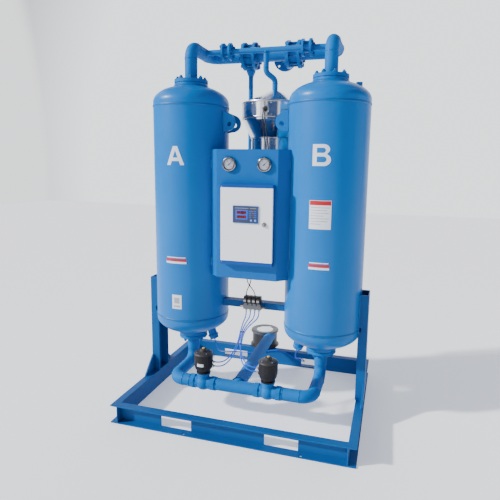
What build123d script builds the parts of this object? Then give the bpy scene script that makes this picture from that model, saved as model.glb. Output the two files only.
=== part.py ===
from build123d import *
import math
import os

# Twin-tower heated desiccant air dryer on a channel-steel skid.
# Millimetres, +Z up, X along the front rail, Y towards the back.
# The origin is on the floor, at the middle of the whole machine's footprint.

os.makedirs("parts", exist_ok=True)

# ---------------------------------------------------------------- driving dimensions
SKID_W = 1542.0          # skid width over the rail flanges
SKID_D = 1221.0          # skid depth, front to back
RAIL_H = 120.0           # rail channel height
RAIL_B = 52.0            # rail flange width
RAIL_WEB = 5.5
RAIL_FL = 9.0
Y0 = -691.0              # skid front edge; the silencer overhangs the back rail

POST_H = 140.0           # post channel depth (along Y)
POST_B = 58.0            # post flange width
POST_TOP = 831.0

TOWER_X = 469.0          # tower axis, either side of the middle
TOWER_Y = Y0 + 610.0
TOWER_R = 254.0          # tower outer radius
WALL = 8.0
HEAD_LO = 566.0          # where the lower head's ellipse starts
HEAD_HI = 2038.0         # where the upper head's ellipse starts
HEAD_B = 118.0           # head depth

COVER_Z = 2165.0         # upper pad flange face
COVER_R = 112.0
COVER_PCD = 180.0
COVER_T = 22.0
BOT_Z = 424.0            # lower pad flange face
BOT_R = 100.0
BOT_PCD = 160.0
GASKET_T = 3.0

PIPE_R = 42.0            # outlet pipe, outer radius
PIPE_I = 37.5
BEND = 76.0              # centreline radius of the elbows
HDR_Z = 2406.0           # outlet and purge header height
HDR_Y = Y0 + 955.0       # outlet header
HDR_FL_R = 94.0
PRG_Y = Y0 + 795.0       # purge header
PRG_R = 19.0
PRG_I = 15.5
PRG_X = 280.0            # purge check valves
PRG_FL_R = 57.0

LOW_R = 40.0             # lower piping
LOW_I = 35.5
LOW_Z = 220.0
LOW_Y = Y0 + 284.0
VALVE_XA = -250.0
VALVE_XB = 188.0
ACT_R = 61.0

HEAT_X = 48.0            # heater axis
HEAT_Y = Y0 + 860.0
HEAT_R = 225.0
HEAT_LOW_R = 161.0

CAB_Y = Y0 + 391.0       # front of the instrument housing
CAB_BACK = Y0 + 457.0
CAB_Z0 = 911.0
CAB_Z1 = 1731.0
CAB_HW = 200.0
CAB_OW = 264.0
SHEET = 2.5

BOX_X0, BOX_X1 = -157.0, 181.0       # electrical enclosure
BOX_Z0, BOX_Z1 = 1010.0, 1517.0
BOX_Y0 = Y0 + 350.0
BOX_Y1 = Y0 + 440.0
DOOR_Z0, DOOR_Z1 = 1034.0, 1496.0
DOOR_Y = Y0 + 346.0
HINGE_X = BOX_X0 + 7.0
HINGE_Y = DOOR_Y + 7.0
LOCK_X, LOCK_Z = 129.0, 1273.0

SIL_X, SIL_Y = -106.0, Y0 + 1262.0   # exhaust silencer
SIL_R = 104.0

TUBE_D = 8.0
WIRE_D = 6.0


# ---------------------------------------------------------------- small helpers
def disc(origin, direction, r, h, mode=Mode.ADD, hole=0.0):
    """A round disc or ring standing on origin."""
    with BuildSketch(Plane(origin=origin, z_dir=direction)) as sk:
        Circle(r)
        if hole:
            Circle(hole, mode=Mode.SUBTRACT)
    extrude(to_extrude=sk.sketch, amount=h, mode=mode)


def hexagon(origin, direction, af, h, mode=Mode.ADD, hole=0.0):
    """A hexagonal prism, af across its flats."""
    with BuildSketch(Plane(origin=origin, z_dir=direction)) as sk:
        RegularPolygon(radius=af / math.sqrt(3), side_count=6)
        if hole:
            Circle(hole, mode=Mode.SUBTRACT)
    extrude(to_extrude=sk.sketch, amount=h, mode=mode)


def block(x0, x1, y0, y1, z0, z1, mode=Mode.ADD):
    with BuildSketch(Plane.XY.offset(z0)) as sk:
        with Locations(((x0 + x1) / 2, (y0 + y1) / 2)):
            Rectangle(x1 - x0, y1 - y0)
    extrude(to_extrude=sk.sketch, amount=z1 - z0, mode=mode)


def tube(points, bend, r, mode=Mode.ADD):
    """A round bar along straight runs joined by tangent arcs."""
    with BuildLine() as ln:
        if len(points) == 2:
            Line(*points)
        else:
            FilletPolyline(*points, radius=bend)
    w = ln.wire()
    with BuildSketch(Plane(origin=w @ 0, z_dir=w % 0)) as sk:
        Circle(r)
    sweep(sections=sk.sketch, path=w, mode=mode)


def lathe(x, y, outline, mode=Mode.ADD):
    """Revolve an (r, z) outline about the vertical axis through x, y."""
    with BuildSketch(Plane(origin=(x, y, 0), x_dir=(1, 0, 0), z_dir=(0, -1, 0))) as sk:
        with BuildLine():
            Polyline(*outline, close=True)
        make_face()
    revolve(profiles=sk.sketch, axis=Axis((x, y, 0), (0, 0, 1)), mode=mode)


def bolt(origin, direction, d, length, head=True, nut=True, grip=None):
    """Hexagon bolt or stud: shank from origin along direction, a nut or head at
    each end of the grip."""
    o = Vector(*origin)
    v = Vector(*direction).normalized()
    g = grip if grip is not None else length
    disc(tuple(o), tuple(v), d / 2, length)
    if head:
        hexagon(tuple(o - v * (0.65 * d)), tuple(v), 1.5 * d, 0.65 * d)
    if nut:
        hexagon(tuple(o + v * g), tuple(v), 1.5 * d, 0.8 * d, hole=0)


def channel_section(h, b, web, fl, root=7.0):
    """A channel's section in the sketch's frame: web at u = 0, flanges towards +u."""
    with BuildLine() as ln:
        Polyline((0, 0), (b, 0), (b, fl * 0.8), (web, fl), (web, h - fl),
                 (b, h - fl * 0.8), (b, h), (0, h), close=True)
    make_face(ln.edges())


radii_seen = []


def cord(points, d, label):
    """A cord's tube: each arc is as large as its two runs allow."""
    p = [Vector(*q) for q in points]
    runs = [(p[i + 1] - p[i]).length for i in range(len(p) - 1)]
    rad = []
    for i in range(1, len(p) - 1):
        turn = (p[i] - p[i - 1]).get_angle(p[i + 1] - p[i])
        rad.append(0.45 * min(runs[i - 1], runs[i]) / math.tan(math.radians(turn / 2)))
        assert turn < 92, (label, i, turn)
    radii_seen.append((label, round(min(rad) / d, 1), round(max(runs)), round(min(runs))))
    with BuildLine() as ln:
        FilletPolyline(*points, radius=rad)
    w = ln.wire()
    with BuildSketch(Plane(origin=w @ 0, z_dir=w % 0)) as sk:
        Circle(d / 2)
    sweep(sections=sk.sketch, path=w)
    print(label, "length", round(w.length), "radii", [round(r) for r in rad])


HW = SKID_W / 2
YB = Y0 + SKID_D
FORK = (233.0, 436.0, 10.0, 77.0)
ANCHOR_X = (-269.0, 459.0)

# ---------------------------------------------------------------- skid
# Front and back rails butt between the side rails' webs; all four open outwards.
with BuildPart() as skid_front_rail:
    with BuildSketch(Plane(origin=(HW - RAIL_B, Y0 + RAIL_B, 0), x_dir=(0, -1, 0), z_dir=(-1, 0, 0))) as s:
        channel_section(RAIL_H, RAIL_B, RAIL_WEB, RAIL_FL)
    extrude(amount=SKID_W - 2 * RAIL_B)
    for sx in (-1, 1):
        block(min(sx * FORK[0], sx * FORK[1]), max(sx * FORK[0], sx * FORK[1]),
              Y0 + RAIL_B - 12, Y0 + RAIL_B + 5, FORK[2], FORK[3], Mode.SUBTRACT)
    for x in ANCHOR_X:
        disc((x, Y0 + 16, -5), (0, 0, 1), 9, 30, Mode.SUBTRACT)

with BuildPart() as skid_rear_rail:
    with BuildSketch(Plane(origin=(-HW + RAIL_B, YB - RAIL_B, 0), x_dir=(0, 1, 0), z_dir=(1, 0, 0))) as s:
        channel_section(RAIL_H, RAIL_B, RAIL_WEB, RAIL_FL)
    extrude(amount=SKID_W - 2 * RAIL_B)
    for sx in (-1, 1):
        block(min(sx * FORK[0], sx * FORK[1]), max(sx * FORK[0], sx * FORK[1]),
              YB - RAIL_B - 5, YB - RAIL_B + 12, FORK[2], FORK[3], Mode.SUBTRACT)
    for x in ANCHOR_X:
        disc((x, YB - 16, -5), (0, 0, 1), 9, 30, Mode.SUBTRACT)

with BuildPart() as skid_left_rail:
    with BuildSketch(Plane(origin=(-HW + RAIL_B, Y0, 0), x_dir=(-1, 0, 0), z_dir=(0, 1, 0))) as s:
        channel_section(RAIL_H, RAIL_B, RAIL_WEB, RAIL_FL)
    extrude(amount=SKID_D)

with BuildPart() as skid_right_rail:
    with BuildSketch(Plane(origin=(HW - RAIL_B, YB, 0), x_dir=(1, 0, 0), z_dir=(0, -1, 0))) as s:
        channel_section(RAIL_H, RAIL_B, RAIL_WEB, RAIL_FL)
    extrude(amount=SKID_D)

# Posts: channels on end, open towards the towers, whose flange edges the towers are welded to.
with BuildPart() as left_post:
    with BuildSketch(Plane(origin=(-HW, TOWER_Y - POST_H / 2, RAIL_H), x_dir=(1, 0, 0), z_dir=(0, 0, 1))) as s:
        channel_section(POST_H, POST_B, 6.0, 9.5)
    extrude(amount=POST_TOP - RAIL_H)
    with BuildSketch(Plane(origin=(-HW + POST_B - 14, TOWER_Y - POST_H / 2 - 2, 600), x_dir=(1, 0, 0), z_dir=(0, 1, 0))) as s:
        SlotOverall(30, 12, rotation=90)
    extrude(amount=16, mode=Mode.SUBTRACT)
    disc((-TOWER_X, TOWER_Y, HEAD_LO - 60), (0, 0, 1), TOWER_R, 400, Mode.SUBTRACT)

with BuildPart() as right_post:
    with BuildSketch(Plane(origin=(HW, TOWER_Y + POST_H / 2, RAIL_H), x_dir=(-1, 0, 0), z_dir=(0, 0, 1))) as s:
        channel_section(POST_H, POST_B, 6.0, 9.5)
    extrude(amount=POST_TOP - RAIL_H)
    with BuildSketch(Plane(origin=(HW - POST_B + 14, TOWER_Y - POST_H / 2 - 2, 600), x_dir=(1, 0, 0), z_dir=(0, 1, 0))) as s:
        SlotOverall(30, 12, rotation=90)
    extrude(amount=16, mode=Mode.SUBTRACT)
    disc((TOWER_X, TOWER_Y, HEAD_LO - 60), (0, 0, 1), TOWER_R, 400, Mode.SUBTRACT)

# Four triangular gusset plates at the feet of the posts, on the rails' outer edges.
with BuildPart() as post_gussets:
    for sx in (-1, 1):
        x = -HW if sx < 0 else HW - 12
        for sy in (-1, 1):
            yf = TOWER_Y + sy * POST_H / 2
            with BuildSketch(Plane(origin=(x, yf, RAIL_H), x_dir=(0, 1, 0), z_dir=(1, 0, 0))) as s:
                with BuildLine():
                    Polyline((0, 0), (sy * 115, 0), (sy * 115, 8), (sy * 8, 121), (0, 121), close=True)
                make_face()
            extrude(to_extrude=s.sketch, amount=12)

# Cross beam between the towers, open downwards, its ends coped to the shells.
BEAM_Y0, BEAM_Y1, BEAM_Z0, BEAM_Z1 = Y0 + 560.0, Y0 + 625.0, 666.0, 711.0
with BuildPart() as cross_beam:
    block(-262, 262, BEAM_Y0, BEAM_Y1, BEAM_Z0, BEAM_Z1)
    block(-262, 262, BEAM_Y0 + 6, BEAM_Y1 - 6, BEAM_Z0 - 1, BEAM_Z1 - 6, Mode.SUBTRACT)
    for sx in (-1, 1):
        disc((sx * TOWER_X, TOWER_Y, 600), (0, 0, 1), TOWER_R, 200, Mode.SUBTRACT)


# ---------------------------------------------------------------- towers
def vessel(sx):
    """Welded pressure vessel: shell, two elliptical heads, pad flanges top and
    bottom, a drain port on the lower head, and a flanged inlet low at the back."""
    x = sx * TOWER_X
    pl = Plane(origin=(x, TOWER_Y, 0), x_dir=(1, 0, 0), z_dir=(0, -1, 0))
    ax = Axis((x, TOWER_Y, 0), (0, 0, 1))
    px = x - sx * 140            # drain port foot on the head
    pz = HEAD_LO - HEAD_B * math.sqrt(1 - (140 / TOWER_R) ** 2)
    pd = Vector(-sx * 0.32, 0, -0.95).normalized()
    with BuildPart() as v:
        with BuildSketch(pl) as s:
            with BuildLine():
                Line((0, HEAD_LO - HEAD_B), (0, HEAD_HI + HEAD_B))
                EllipticalCenterArc((0, HEAD_HI), TOWER_R, HEAD_B, start_angle=0, arc_size=90)
                Line((TOWER_R, HEAD_HI), (TOWER_R, HEAD_LO))
                EllipticalCenterArc((0, HEAD_LO), TOWER_R, HEAD_B, start_angle=270, arc_size=90)
            make_face()
        revolve(axis=ax)
        disc((x, TOWER_Y, COVER_Z - 45), (0, 0, 1), COVER_R, 45)
        disc((x, TOWER_Y, BOT_Z), (0, 0, 1), BOT_R, 45)
        o = Vector(px, TOWER_Y, pz)
        disc(tuple(o - pd * 30), tuple(pd), 30, 72)
        disc(tuple(o + pd * 42), tuple(pd), 37, 10)
        hexagon(tuple(o + pd * 52), tuple(pd), 60, 22)
        bx = x + sx * 175
        disc((bx, TOWER_Y - 10, HEAD_HI + 60), (0, 0, 1), 20, 42)
        disc((x, TOWER_Y + TOWER_R - 25, 655), (0, 1, 0), 30, 115)
        disc((x, TOWER_Y + TOWER_R + 72, 655), (0, 1, 0), 82.5, 18)
        with BuildSketch(pl) as s:
            with BuildLine():
                Line((0, HEAD_LO - HEAD_B + WALL), (0, HEAD_HI + HEAD_B - WALL))
                EllipticalCenterArc((0, HEAD_HI), TOWER_R - WALL, HEAD_B - WALL, start_angle=0, arc_size=90)
                Line((TOWER_R - WALL, HEAD_HI), (TOWER_R - WALL, HEAD_LO))
                EllipticalCenterArc((0, HEAD_LO), TOWER_R - WALL, HEAD_B - WALL, start_angle=270, arc_size=90)
            make_face()
        revolve(axis=ax, mode=Mode.SUBTRACT)
        disc((x, TOWER_Y, COVER_Z - 60), (0, 0, 1), PIPE_I, 70, Mode.SUBTRACT)
        disc((x, TOWER_Y, BOT_Z - 5), (0, 0, 1), LOW_I, 80, Mode.SUBTRACT)
        disc((x, TOWER_Y + TOWER_R - 40, 655), (0, 1, 0), 26, 140, Mode.SUBTRACT)
        for k in range(8):
            a = math.radians(22.5 + 45 * k)
            disc((x + COVER_PCD / 2 * math.cos(a), TOWER_Y + COVER_PCD / 2 * math.sin(a), COVER_Z - 20),
                 (0, 0, 1), 8.05, 25, Mode.SUBTRACT)
            disc((x + BOT_PCD / 2 * math.cos(a), TOWER_Y + BOT_PCD / 2 * math.sin(a), BOT_Z - 5),
                 (0, 0, 1), 8.05, 25, Mode.SUBTRACT)
        for k in range(4):
            a = math.radians(45 + 90 * k)
            disc((x + 62.5 * math.cos(a), TOWER_Y + TOWER_R + 60, 655 + 62.5 * math.sin(a)),
                 (0, 1, 0), 9, 40, Mode.SUBTRACT)
    return v


tower_a_vessel = vessel(-1)
tower_b_vessel = vessel(1)


def bed(sx):
    """The desiccant charge between its two screens."""
    with BuildPart() as b:
        disc((sx * TOWER_X, TOWER_Y, 605), (0, 0, 1), TOWER_R - WALL - 0.3, 1385)
    return b


desiccant_bed_a = bed(-1)
desiccant_bed_b = bed(1)

# Perforated screens that carry and cover each desiccant bed.
with BuildPart() as bed_screens:
    for sx in (-1, 1):
        for z in (600, 1990):
            disc((sx * TOWER_X, TOWER_Y, z), (0, 0, 1), TOWER_R - WALL, 5)
            for k in range(12):
                a = math.radians(30 * k)
                disc((sx * TOWER_X + 150 * math.cos(a), TOWER_Y + 150 * math.sin(a), z - 1),
                     (0, 0, 1), 25, 7, Mode.SUBTRACT)

# Lifting lugs: a pair of plates on the facing side of each tower. The rear
# plate on the right stands closer, clear of the heater's jacket.
LUG_DY = 55.0
with BuildPart() as lifting_lugs:
    for sx in (-1, 1):
        for dy in (-LUG_DY - 6, (LUG_DY if sx < 0 else 30.0) - 6):
            with BuildSketch(Plane(origin=(0, TOWER_Y + dy + 12, 0), x_dir=(1, 0, 0), z_dir=(0, -1, 0))) as s:
                with BuildLine():
                    CenterArc((sx * 190, 1909), 56, 0, 360)
                    Line((sx * 228, 1985), (sx * 228, 1846))
                make_hull()
                with Locations((sx * 176, 1898)):
                    Circle(15, mode=Mode.SUBTRACT)
            extrude(to_extrude=s.sketch, amount=12)
    for sx in (-1, 1):
        disc((sx * TOWER_X, TOWER_Y, 1800), (0, 0, 1), TOWER_R, 230, Mode.SUBTRACT)


# ---------------------------------------------------------------- outlet piping
def outlet_spool(sx):
    """Cover flange, riser, two elbows and a flanged end, with the purge branch
    welded into the run that goes back."""
    x = sx * TOWER_X
    z0 = COVER_Z + GASKET_T
    pts = [(x, TOWER_Y, z0 + 1), (x, TOWER_Y, HDR_Z), (x, HDR_Y, HDR_Z), (sx * 192, HDR_Y, HDR_Z)]
    xb = sx * (PRG_X + 18)
    with BuildPart() as p:
        disc((x, TOWER_Y, z0), (0, 0, 1), COVER_R, COVER_T)
        tube(pts, BEND, PIPE_R)
        disc((sx * 210, HDR_Y, HDR_Z), (-sx, 0, 0), HDR_FL_R, 20)
        disc((xb, PRG_Y, HDR_Z), (sx, 0, 0), PRG_FL_R, 15)
        disc((xb, PRG_Y, HDR_Z), (sx, 0, 0), PRG_R, abs(x) - PRG_X - 18)
        tube([(x, TOWER_Y, z0 - 5)] + pts[1:3] + [(sx * 185, HDR_Y, HDR_Z)], BEND, PIPE_I, Mode.SUBTRACT)
        disc((xb - sx * 5, PRG_Y, HDR_Z), (sx, 0, 0), PRG_I, abs(x) - PRG_X - 18, Mode.SUBTRACT)
        for k in range(8):
            a = math.radians(22.5 + 45 * k)
            disc((x + COVER_PCD / 2 * math.cos(a), TOWER_Y + COVER_PCD / 2 * math.sin(a), z0 - 5),
                 (0, 0, 1), 9, 40, Mode.SUBTRACT)
            disc((sx * 215, HDR_Y + 75 * math.cos(a), HDR_Z + 75 * math.sin(a)), (-sx, 0, 0), 9, 30, Mode.SUBTRACT)
        for k in range(4):
            a = math.radians(45 + 90 * k)
            disc((xb - sx * 5, PRG_Y + 43 * math.cos(a), HDR_Z + 43 * math.sin(a)), (sx, 0, 0), 7, 25, Mode.SUBTRACT)
    return p


outlet_spool_a = outlet_spool(-1)
outlet_spool_b = outlet_spool(1)

# Flat ring gaskets at the four vessel flanges.
with BuildPart() as flange_gaskets:
    for sx in (-1, 1):
        disc((sx * TOWER_X, TOWER_Y, COVER_Z), (0, 0, 1), 80, GASKET_T, hole=PIPE_I)
        disc((sx * TOWER_X, TOWER_Y, BOT_Z - GASKET_T), (0, 0, 1), 70, GASKET_T, hole=LOW_I)

# Studs and nuts of the four vessel flanges.
with BuildPart() as vessel_flange_bolts:
    for sx in (-1, 1):
        for k in range(8):
            a = math.radians(22.5 + 45 * k)
            ca, sa = math.cos(a), math.sin(a)
            bolt((sx * TOWER_X + COVER_PCD / 2 * ca, TOWER_Y + COVER_PCD / 2 * sa, COVER_Z - 19),
                 (0, 0, 1), 16, 66, head=False, grip=19 + GASKET_T + COVER_T)
            bolt((sx * TOWER_X + BOT_PCD / 2 * ca, TOWER_Y + BOT_PCD / 2 * sa, BOT_Z + 19),
                 (0, 0, -1), 16, 64, head=False, grip=19 + GASKET_T + 20)

WAF0, WAF1 = 132.0, 190.0      # wafer check valve faces, from the middle


def check_body(sx):
    """Wafer check valve body: seat on the tower side, guide spider on the other."""
    with BuildPart() as b:
        disc((sx * WAF0, HDR_Y, HDR_Z), (sx, 0, 0), 66, WAF1 - WAF0)
        disc((sx * (WAF0 + 8), HDR_Y, HDR_Z), (sx, 0, 0), 42, WAF1 - WAF0 - 16, Mode.SUBTRACT)
        disc((sx * (WAF1 - 10), HDR_Y, HDR_Z), (sx, 0, 0), 27, 20, Mode.SUBTRACT)
        disc((sx * (WAF0 - 5), HDR_Y, HDR_Z), (sx, 0, 0), 6.05, 20, Mode.SUBTRACT)
        for k in range(4):
            a = math.radians(45 + 90 * k)
            disc((sx * (WAF0 - 5), HDR_Y + 24 * math.cos(a), HDR_Z + 24 * math.sin(a)), (sx, 0, 0), 11, 20, Mode.SUBTRACT)
    return b


def check_disc(sx):
    """The disc on its guide stem, 0.5 mm off the seat."""
    with BuildPart() as b:
        disc((sx * (WAF1 - 14.5), HDR_Y, HDR_Z), (sx, 0, 0), 34, 6)
        disc((sx * (WAF0 + 1), HDR_Y, HDR_Z), (sx, 0, 0), 6, WAF1 - WAF0 - 14)
    return b


outlet_check_valve_a = check_body(-1)
outlet_check_valve_b = check_body(1)
outlet_check_disc_a = check_disc(-1)
outlet_check_disc_b = check_disc(1)

FEED_X, FEED_Y = -194.0, Y0 + 1070.0      # purge feed pipe, behind the header
FEED_Z = 950.0

# Outlet tee: between the check valves, with the flanged air outlet at the back
# and the take-off of the purge feed.
OUT_X = 59.0
OUT_R, OUT_I = 30.2, 26.5       # reducing branch
OUT_FL_R = 82.5
OUT_Y = Y0 + 1109.0
with BuildPart() as outlet_tee:
    disc((-114, HDR_Y, HDR_Z), (1, 0, 0), PIPE_R, 228)
    for sx in (-1, 1):
        disc((sx * 112, HDR_Y, HDR_Z), (sx, 0, 0), HDR_FL_R, 20)
    disc((OUT_X, HDR_Y, HDR_Z), (0, 1, 0), OUT_R, OUT_Y - HDR_Y - 2)
    disc((OUT_X, OUT_Y - 18, HDR_Z), (0, 1, 0), OUT_FL_R, 18)
    disc((-140, HDR_Y, HDR_Z), (1, 0, 0), PIPE_I, 280, Mode.SUBTRACT)
    disc((OUT_X, HDR_Y, HDR_Z), (0, 1, 0), OUT_I, 200, Mode.SUBTRACT)
    disc((OUT_X - 50, FEED_Y, HDR_Z + 6), (1, 0, 0), 14, 45, Mode.SUBTRACT)
    for k in range(8):
        a = math.radians(22.5 + 45 * k)
        for sx in (-1, 1):
            disc((sx * 105, HDR_Y + 75 * math.cos(a), HDR_Z + 75 * math.sin(a)), (sx, 0, 0), 9, 30, Mode.SUBTRACT)
    for k in range(4):
        a = math.radians(45 + 90 * k)
        disc((OUT_X + 62.5 * math.cos(a), OUT_Y - 25, HDR_Z + 62.5 * math.sin(a)), (0, 1, 0), 9, 30, Mode.SUBTRACT)

# Studs across the wafer check valves and the purge check valves.
with BuildPart() as flange_studs:
    for sx in (-1, 1):
        for k in range(8):
            a = math.radians(22.5 + 45 * k)
            o = (sx * 98, HDR_Y + 75 * math.cos(a), HDR_Z + 75 * math.sin(a))
            bolt(o, (sx, 0, 0), 16, 126, head=False, nut=False)
            for xa in (99.0, 210.0):
                hexagon((sx * xa, o[1], o[2]), (sx, 0, 0), 24, 13)
        for k in range(4):
            a = math.radians(45 + 90 * k)
            o = (sx * (PRG_X - 46), PRG_Y + 43 * math.cos(a), HDR_Z + 43 * math.sin(a))
            bolt(o, (sx, 0, 0), 12, 92, head=False, nut=False)
            for xa in (PRG_X - 43.0, PRG_X + 33.0):
                hexagon((sx * xa, o[1], o[2]), (sx, 0, 0), 19, 10)

# ---------------------------------------------------------------- purge piping
# Purge header with its drop to the top of the heater.
DROP = [(0, PRG_Y, HDR_Z), (0, PRG_Y, 2262), (HEAT_X, HEAT_Y, 2222), (HEAT_X, HEAT_Y, 2150)]
with BuildPart() as purge_header:
    disc((-(PRG_X - 18), PRG_Y, HDR_Z), (1, 0, 0), PRG_R, 2 * (PRG_X - 18))
    for sx in (-1, 1):
        disc((sx * (PRG_X - 18), PRG_Y, HDR_Z), (-sx, 0, 0), PRG_FL_R, 15)
    tube(DROP, 34, PRG_R)
    disc((-(PRG_X - 10), PRG_Y, HDR_Z), (1, 0, 0), PRG_I, 2 * (PRG_X - 10), Mode.SUBTRACT)
    tube(DROP[:3] + [(HEAT_X, HEAT_Y, 2140)], 34, PRG_I, Mode.SUBTRACT)
    for sx in (-1, 1):
        for k in range(4):
            a = math.radians(45 + 90 * k)
            disc((sx * (PRG_X - 10), PRG_Y + 43 * math.cos(a), HDR_Z + 43 * math.sin(a)), (-sx, 0, 0), 7, 30, Mode.SUBTRACT)


def purge_check(sx):
    """Small wafer check valve body."""
    with BuildPart() as b:
        disc((sx * (PRG_X - 18), PRG_Y, HDR_Z), (sx, 0, 0), 34, 36)
        disc((sx * (PRG_X - 20), PRG_Y, HDR_Z), (sx, 0, 0), 13, 40, Mode.SUBTRACT)
    return b


purge_check_valve_a = purge_check(-1)
purge_check_valve_b = purge_check(1)

# Purge feed: from the outlet tee, behind the header, down to the heater's foot.
FEED = [(OUT_X - OUT_R + 6, FEED_Y, HDR_Z + 6), (FEED_X, FEED_Y, HDR_Z + 6), (FEED_X, FEED_Y, FEED_Z),
        (HEAT_X, HEAT_Y, FEED_Z), (HEAT_X, HEAT_Y, 1040)]
with BuildPart() as purge_feed_pipe:
    tube(FEED, 46, 17)
    lathe(FEED_X, FEED_Y, [(0, 2286), (17, 2286), (34, 2324), (34, 2350), (0, 2350)])
    disc((OUT_X, HDR_Y, HDR_Z), (0, 1, 0), OUT_R, 150, Mode.SUBTRACT)
    tube([(OUT_X - OUT_R - 60, FEED_Y, HDR_Z + 6), FEED[1], FEED[2], FEED[3], (HEAT_X, HEAT_Y, 1050)], 46, 14, Mode.SUBTRACT)
    disc((OUT_X - OUT_R - 70, FEED_Y, HDR_Z + 6), (1, 0, 0), 14, 90, Mode.SUBTRACT)

# ---------------------------------------------------------------- heater
JKT_Z = 2055.0
with BuildPart() as heater_jacket:
    # bright sheet cladding: cone, drum, tapered hopper and lower drum
    lathe(HEAT_X, HEAT_Y, [(24, 2150), (24, 2147), (HEAT_R - 3, JKT_Z - 1.4), (HEAT_R - 3, 1953), (HEAT_LOW_R + 46, 1949),
                           (HEAT_LOW_R - 3, 1822), (HEAT_LOW_R - 3, 1090), (60, 1090), (60, 1087),
                           (HEAT_LOW_R, 1087), (HEAT_LOW_R, 1820), (HEAT_R - 6, 1938), (HEAT_R - 6, 1949),
                           (HEAT_R, 1950), (HEAT_R, JKT_Z)])
    # cable gland boss at the front of the drum
    disc((HEAT_X, HEAT_Y - HEAT_R + 6, 2000), (0, -1, 0), 22, 22)
    disc((HEAT_X, HEAT_Y - HEAT_R + 30, 2000), (0, -1, 0), 12, 60, Mode.SUBTRACT)

# The pressure tube inside, with a nozzle at each end.
with BuildPart() as heater_vessel:
    lathe(HEAT_X, HEAT_Y, [(15.5, 2149), (19, 2149), (19, 2060), (109.5, 1990), (109.5, 1160), (17, 1100), (17, 1040.5),
                           (14, 1040.5), (14, 1104), (103.5, 1164), (103.5, 1986), (15.5, 2054)])

# Heating element: six rods on a terminal plate.
with BuildPart() as heater_element:
    disc((HEAT_X, HEAT_Y, 1940), (0, 0, 1), 60, 14)
    for k in range(6):
        a = math.radians(60 * k)
        disc((HEAT_X + 42 * math.cos(a), HEAT_Y + 42 * math.sin(a), 1200), (0, 0, 1), 8, 742)
    disc((HEAT_X, HEAT_Y, 1200), (0, 0, 1), 50, 8, hole=34)
    disc((HEAT_X - 103.3, HEAT_Y, 1947), (1, 0, 0), 6, 50)
    disc((HEAT_X + 103.3, HEAT_Y, 1947), (-1, 0, 0), 6, 50)

# Band round the heater with an arm welded to each tower.
with BuildPart() as heater_bracket:
    disc((HEAT_X, HEAT_Y, 1480), (0, 0, 1), HEAT_LOW_R + 8, 60)
    for sx in (-1, 1):
        v = Vector(sx * TOWER_X - HEAT_X, TOWER_Y - HEAT_Y, 0)
        with BuildSketch(Plane(origin=(HEAT_X, HEAT_Y, 1480), x_dir=tuple(v.normalized()), z_dir=(0, 0, 1))) as s:
            with Locations(((v.length - 150) / 2, 0)):
                Rectangle(v.length - 150, 14)
        extrude(to_extrude=s.sketch, amount=60)
    disc((HEAT_X, HEAT_Y, 1470), (0, 0, 1), HEAT_LOW_R, 80, Mode.SUBTRACT)
    for sx in (-1, 1):
        disc((sx * TOWER_X, TOWER_Y, 1470), (0, 0, 1), TOWER_R, 80, Mode.SUBTRACT)


# ---------------------------------------------------------------- lower piping
def lower_spool(sx, xv):
    """Bottom flange, neck, elbow, run to the front, elbow, pipe to the valve's union."""
    x = sx * TOWER_X
    z1 = BOT_Z - GASKET_T
    xe = xv + sx * 85.0          # union nut's outer face
    pts = [(x, TOWER_Y, z1 - 1), (x, TOWER_Y, LOW_Z), (x, LOW_Y, LOW_Z), (xe, LOW_Y, LOW_Z)]
    with BuildPart() as p:
        disc((x, TOWER_Y, z1), (0, 0, -1), BOT_R, 20)
        tube(pts, BEND, LOW_R)
        disc((x, TOWER_Y, z1 - 20), (0, 0, -1), 43, 90)
        tube([(x, TOWER_Y, z1 + 5)] + pts[1:3] + [(xe - sx * 5, LOW_Y, LOW_Z)], BEND, LOW_I, Mode.SUBTRACT)
        for k in range(8):
            a = math.radians(22.5 + 45 * k)
            disc((x + BOT_PCD / 2 * math.cos(a), TOWER_Y + BOT_PCD / 2 * math.sin(a), z1 + 5),
                 (0, 0, -1), 9, 30, Mode.SUBTRACT)
    return p


lower_spool_a = lower_spool(-1, VALVE_XA)
lower_spool_b = lower_spool(1, VALVE_XB)


def valve_body(xv):
    """Globe valve body with a hexagon union at each end and a bonnet neck."""
    with BuildPart() as b:
        for d in (-1, 1):
            hexagon((xv + d * 85, LOW_Y, LOW_Z), (-d, 0, 0), 88, 28)
            disc((xv + d * 60, LOW_Y, LOW_Z), (-d, 0, 0), 41, 50)
        with BuildSketch(Plane(origin=(xv, LOW_Y, LOW_Z), x_dir=(1, 0, 0), z_dir=(0, -1, 0))) as s:
            with BuildLine():
                Line((-52, 0), (52, 0))
                EllipticalCenterArc((0, 0), 52, 50, start_angle=0, arc_size=180)
            make_face()
        revolve(profiles=s.sketch, axis=Axis((xv, LOW_Y, LOW_Z), (1, 0, 0)))
        disc((xv, LOW_Y, LOW_Z), (0, 0, 1), 38, 64)
        disc((xv, LOW_Y, LOW_Z + 58), (0, 0, 1), 44, 12)
        # flow passage with a web and a seat bore across it
        disc((xv - 90, LOW_Y, LOW_Z), (1, 0, 0), 30, 180, Mode.SUBTRACT)
        disc((xv, LOW_Y, LOW_Z - 12), (0, 0, 1), 26, 90, Mode.SUBTRACT)
        block(xv - 44, xv + 44, LOW_Y - 29, LOW_Y + 29, LOW_Z - 12, LOW_Z - 2)
        disc((xv, LOW_Y, LOW_Z - 20), (0, 0, 1), 18, 30, Mode.SUBTRACT)
    return b


valve_body_a = valve_body(VALVE_XA)
valve_body_b = valve_body(VALVE_XB)
ACT_Z0 = LOW_Z + 70.0


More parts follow.
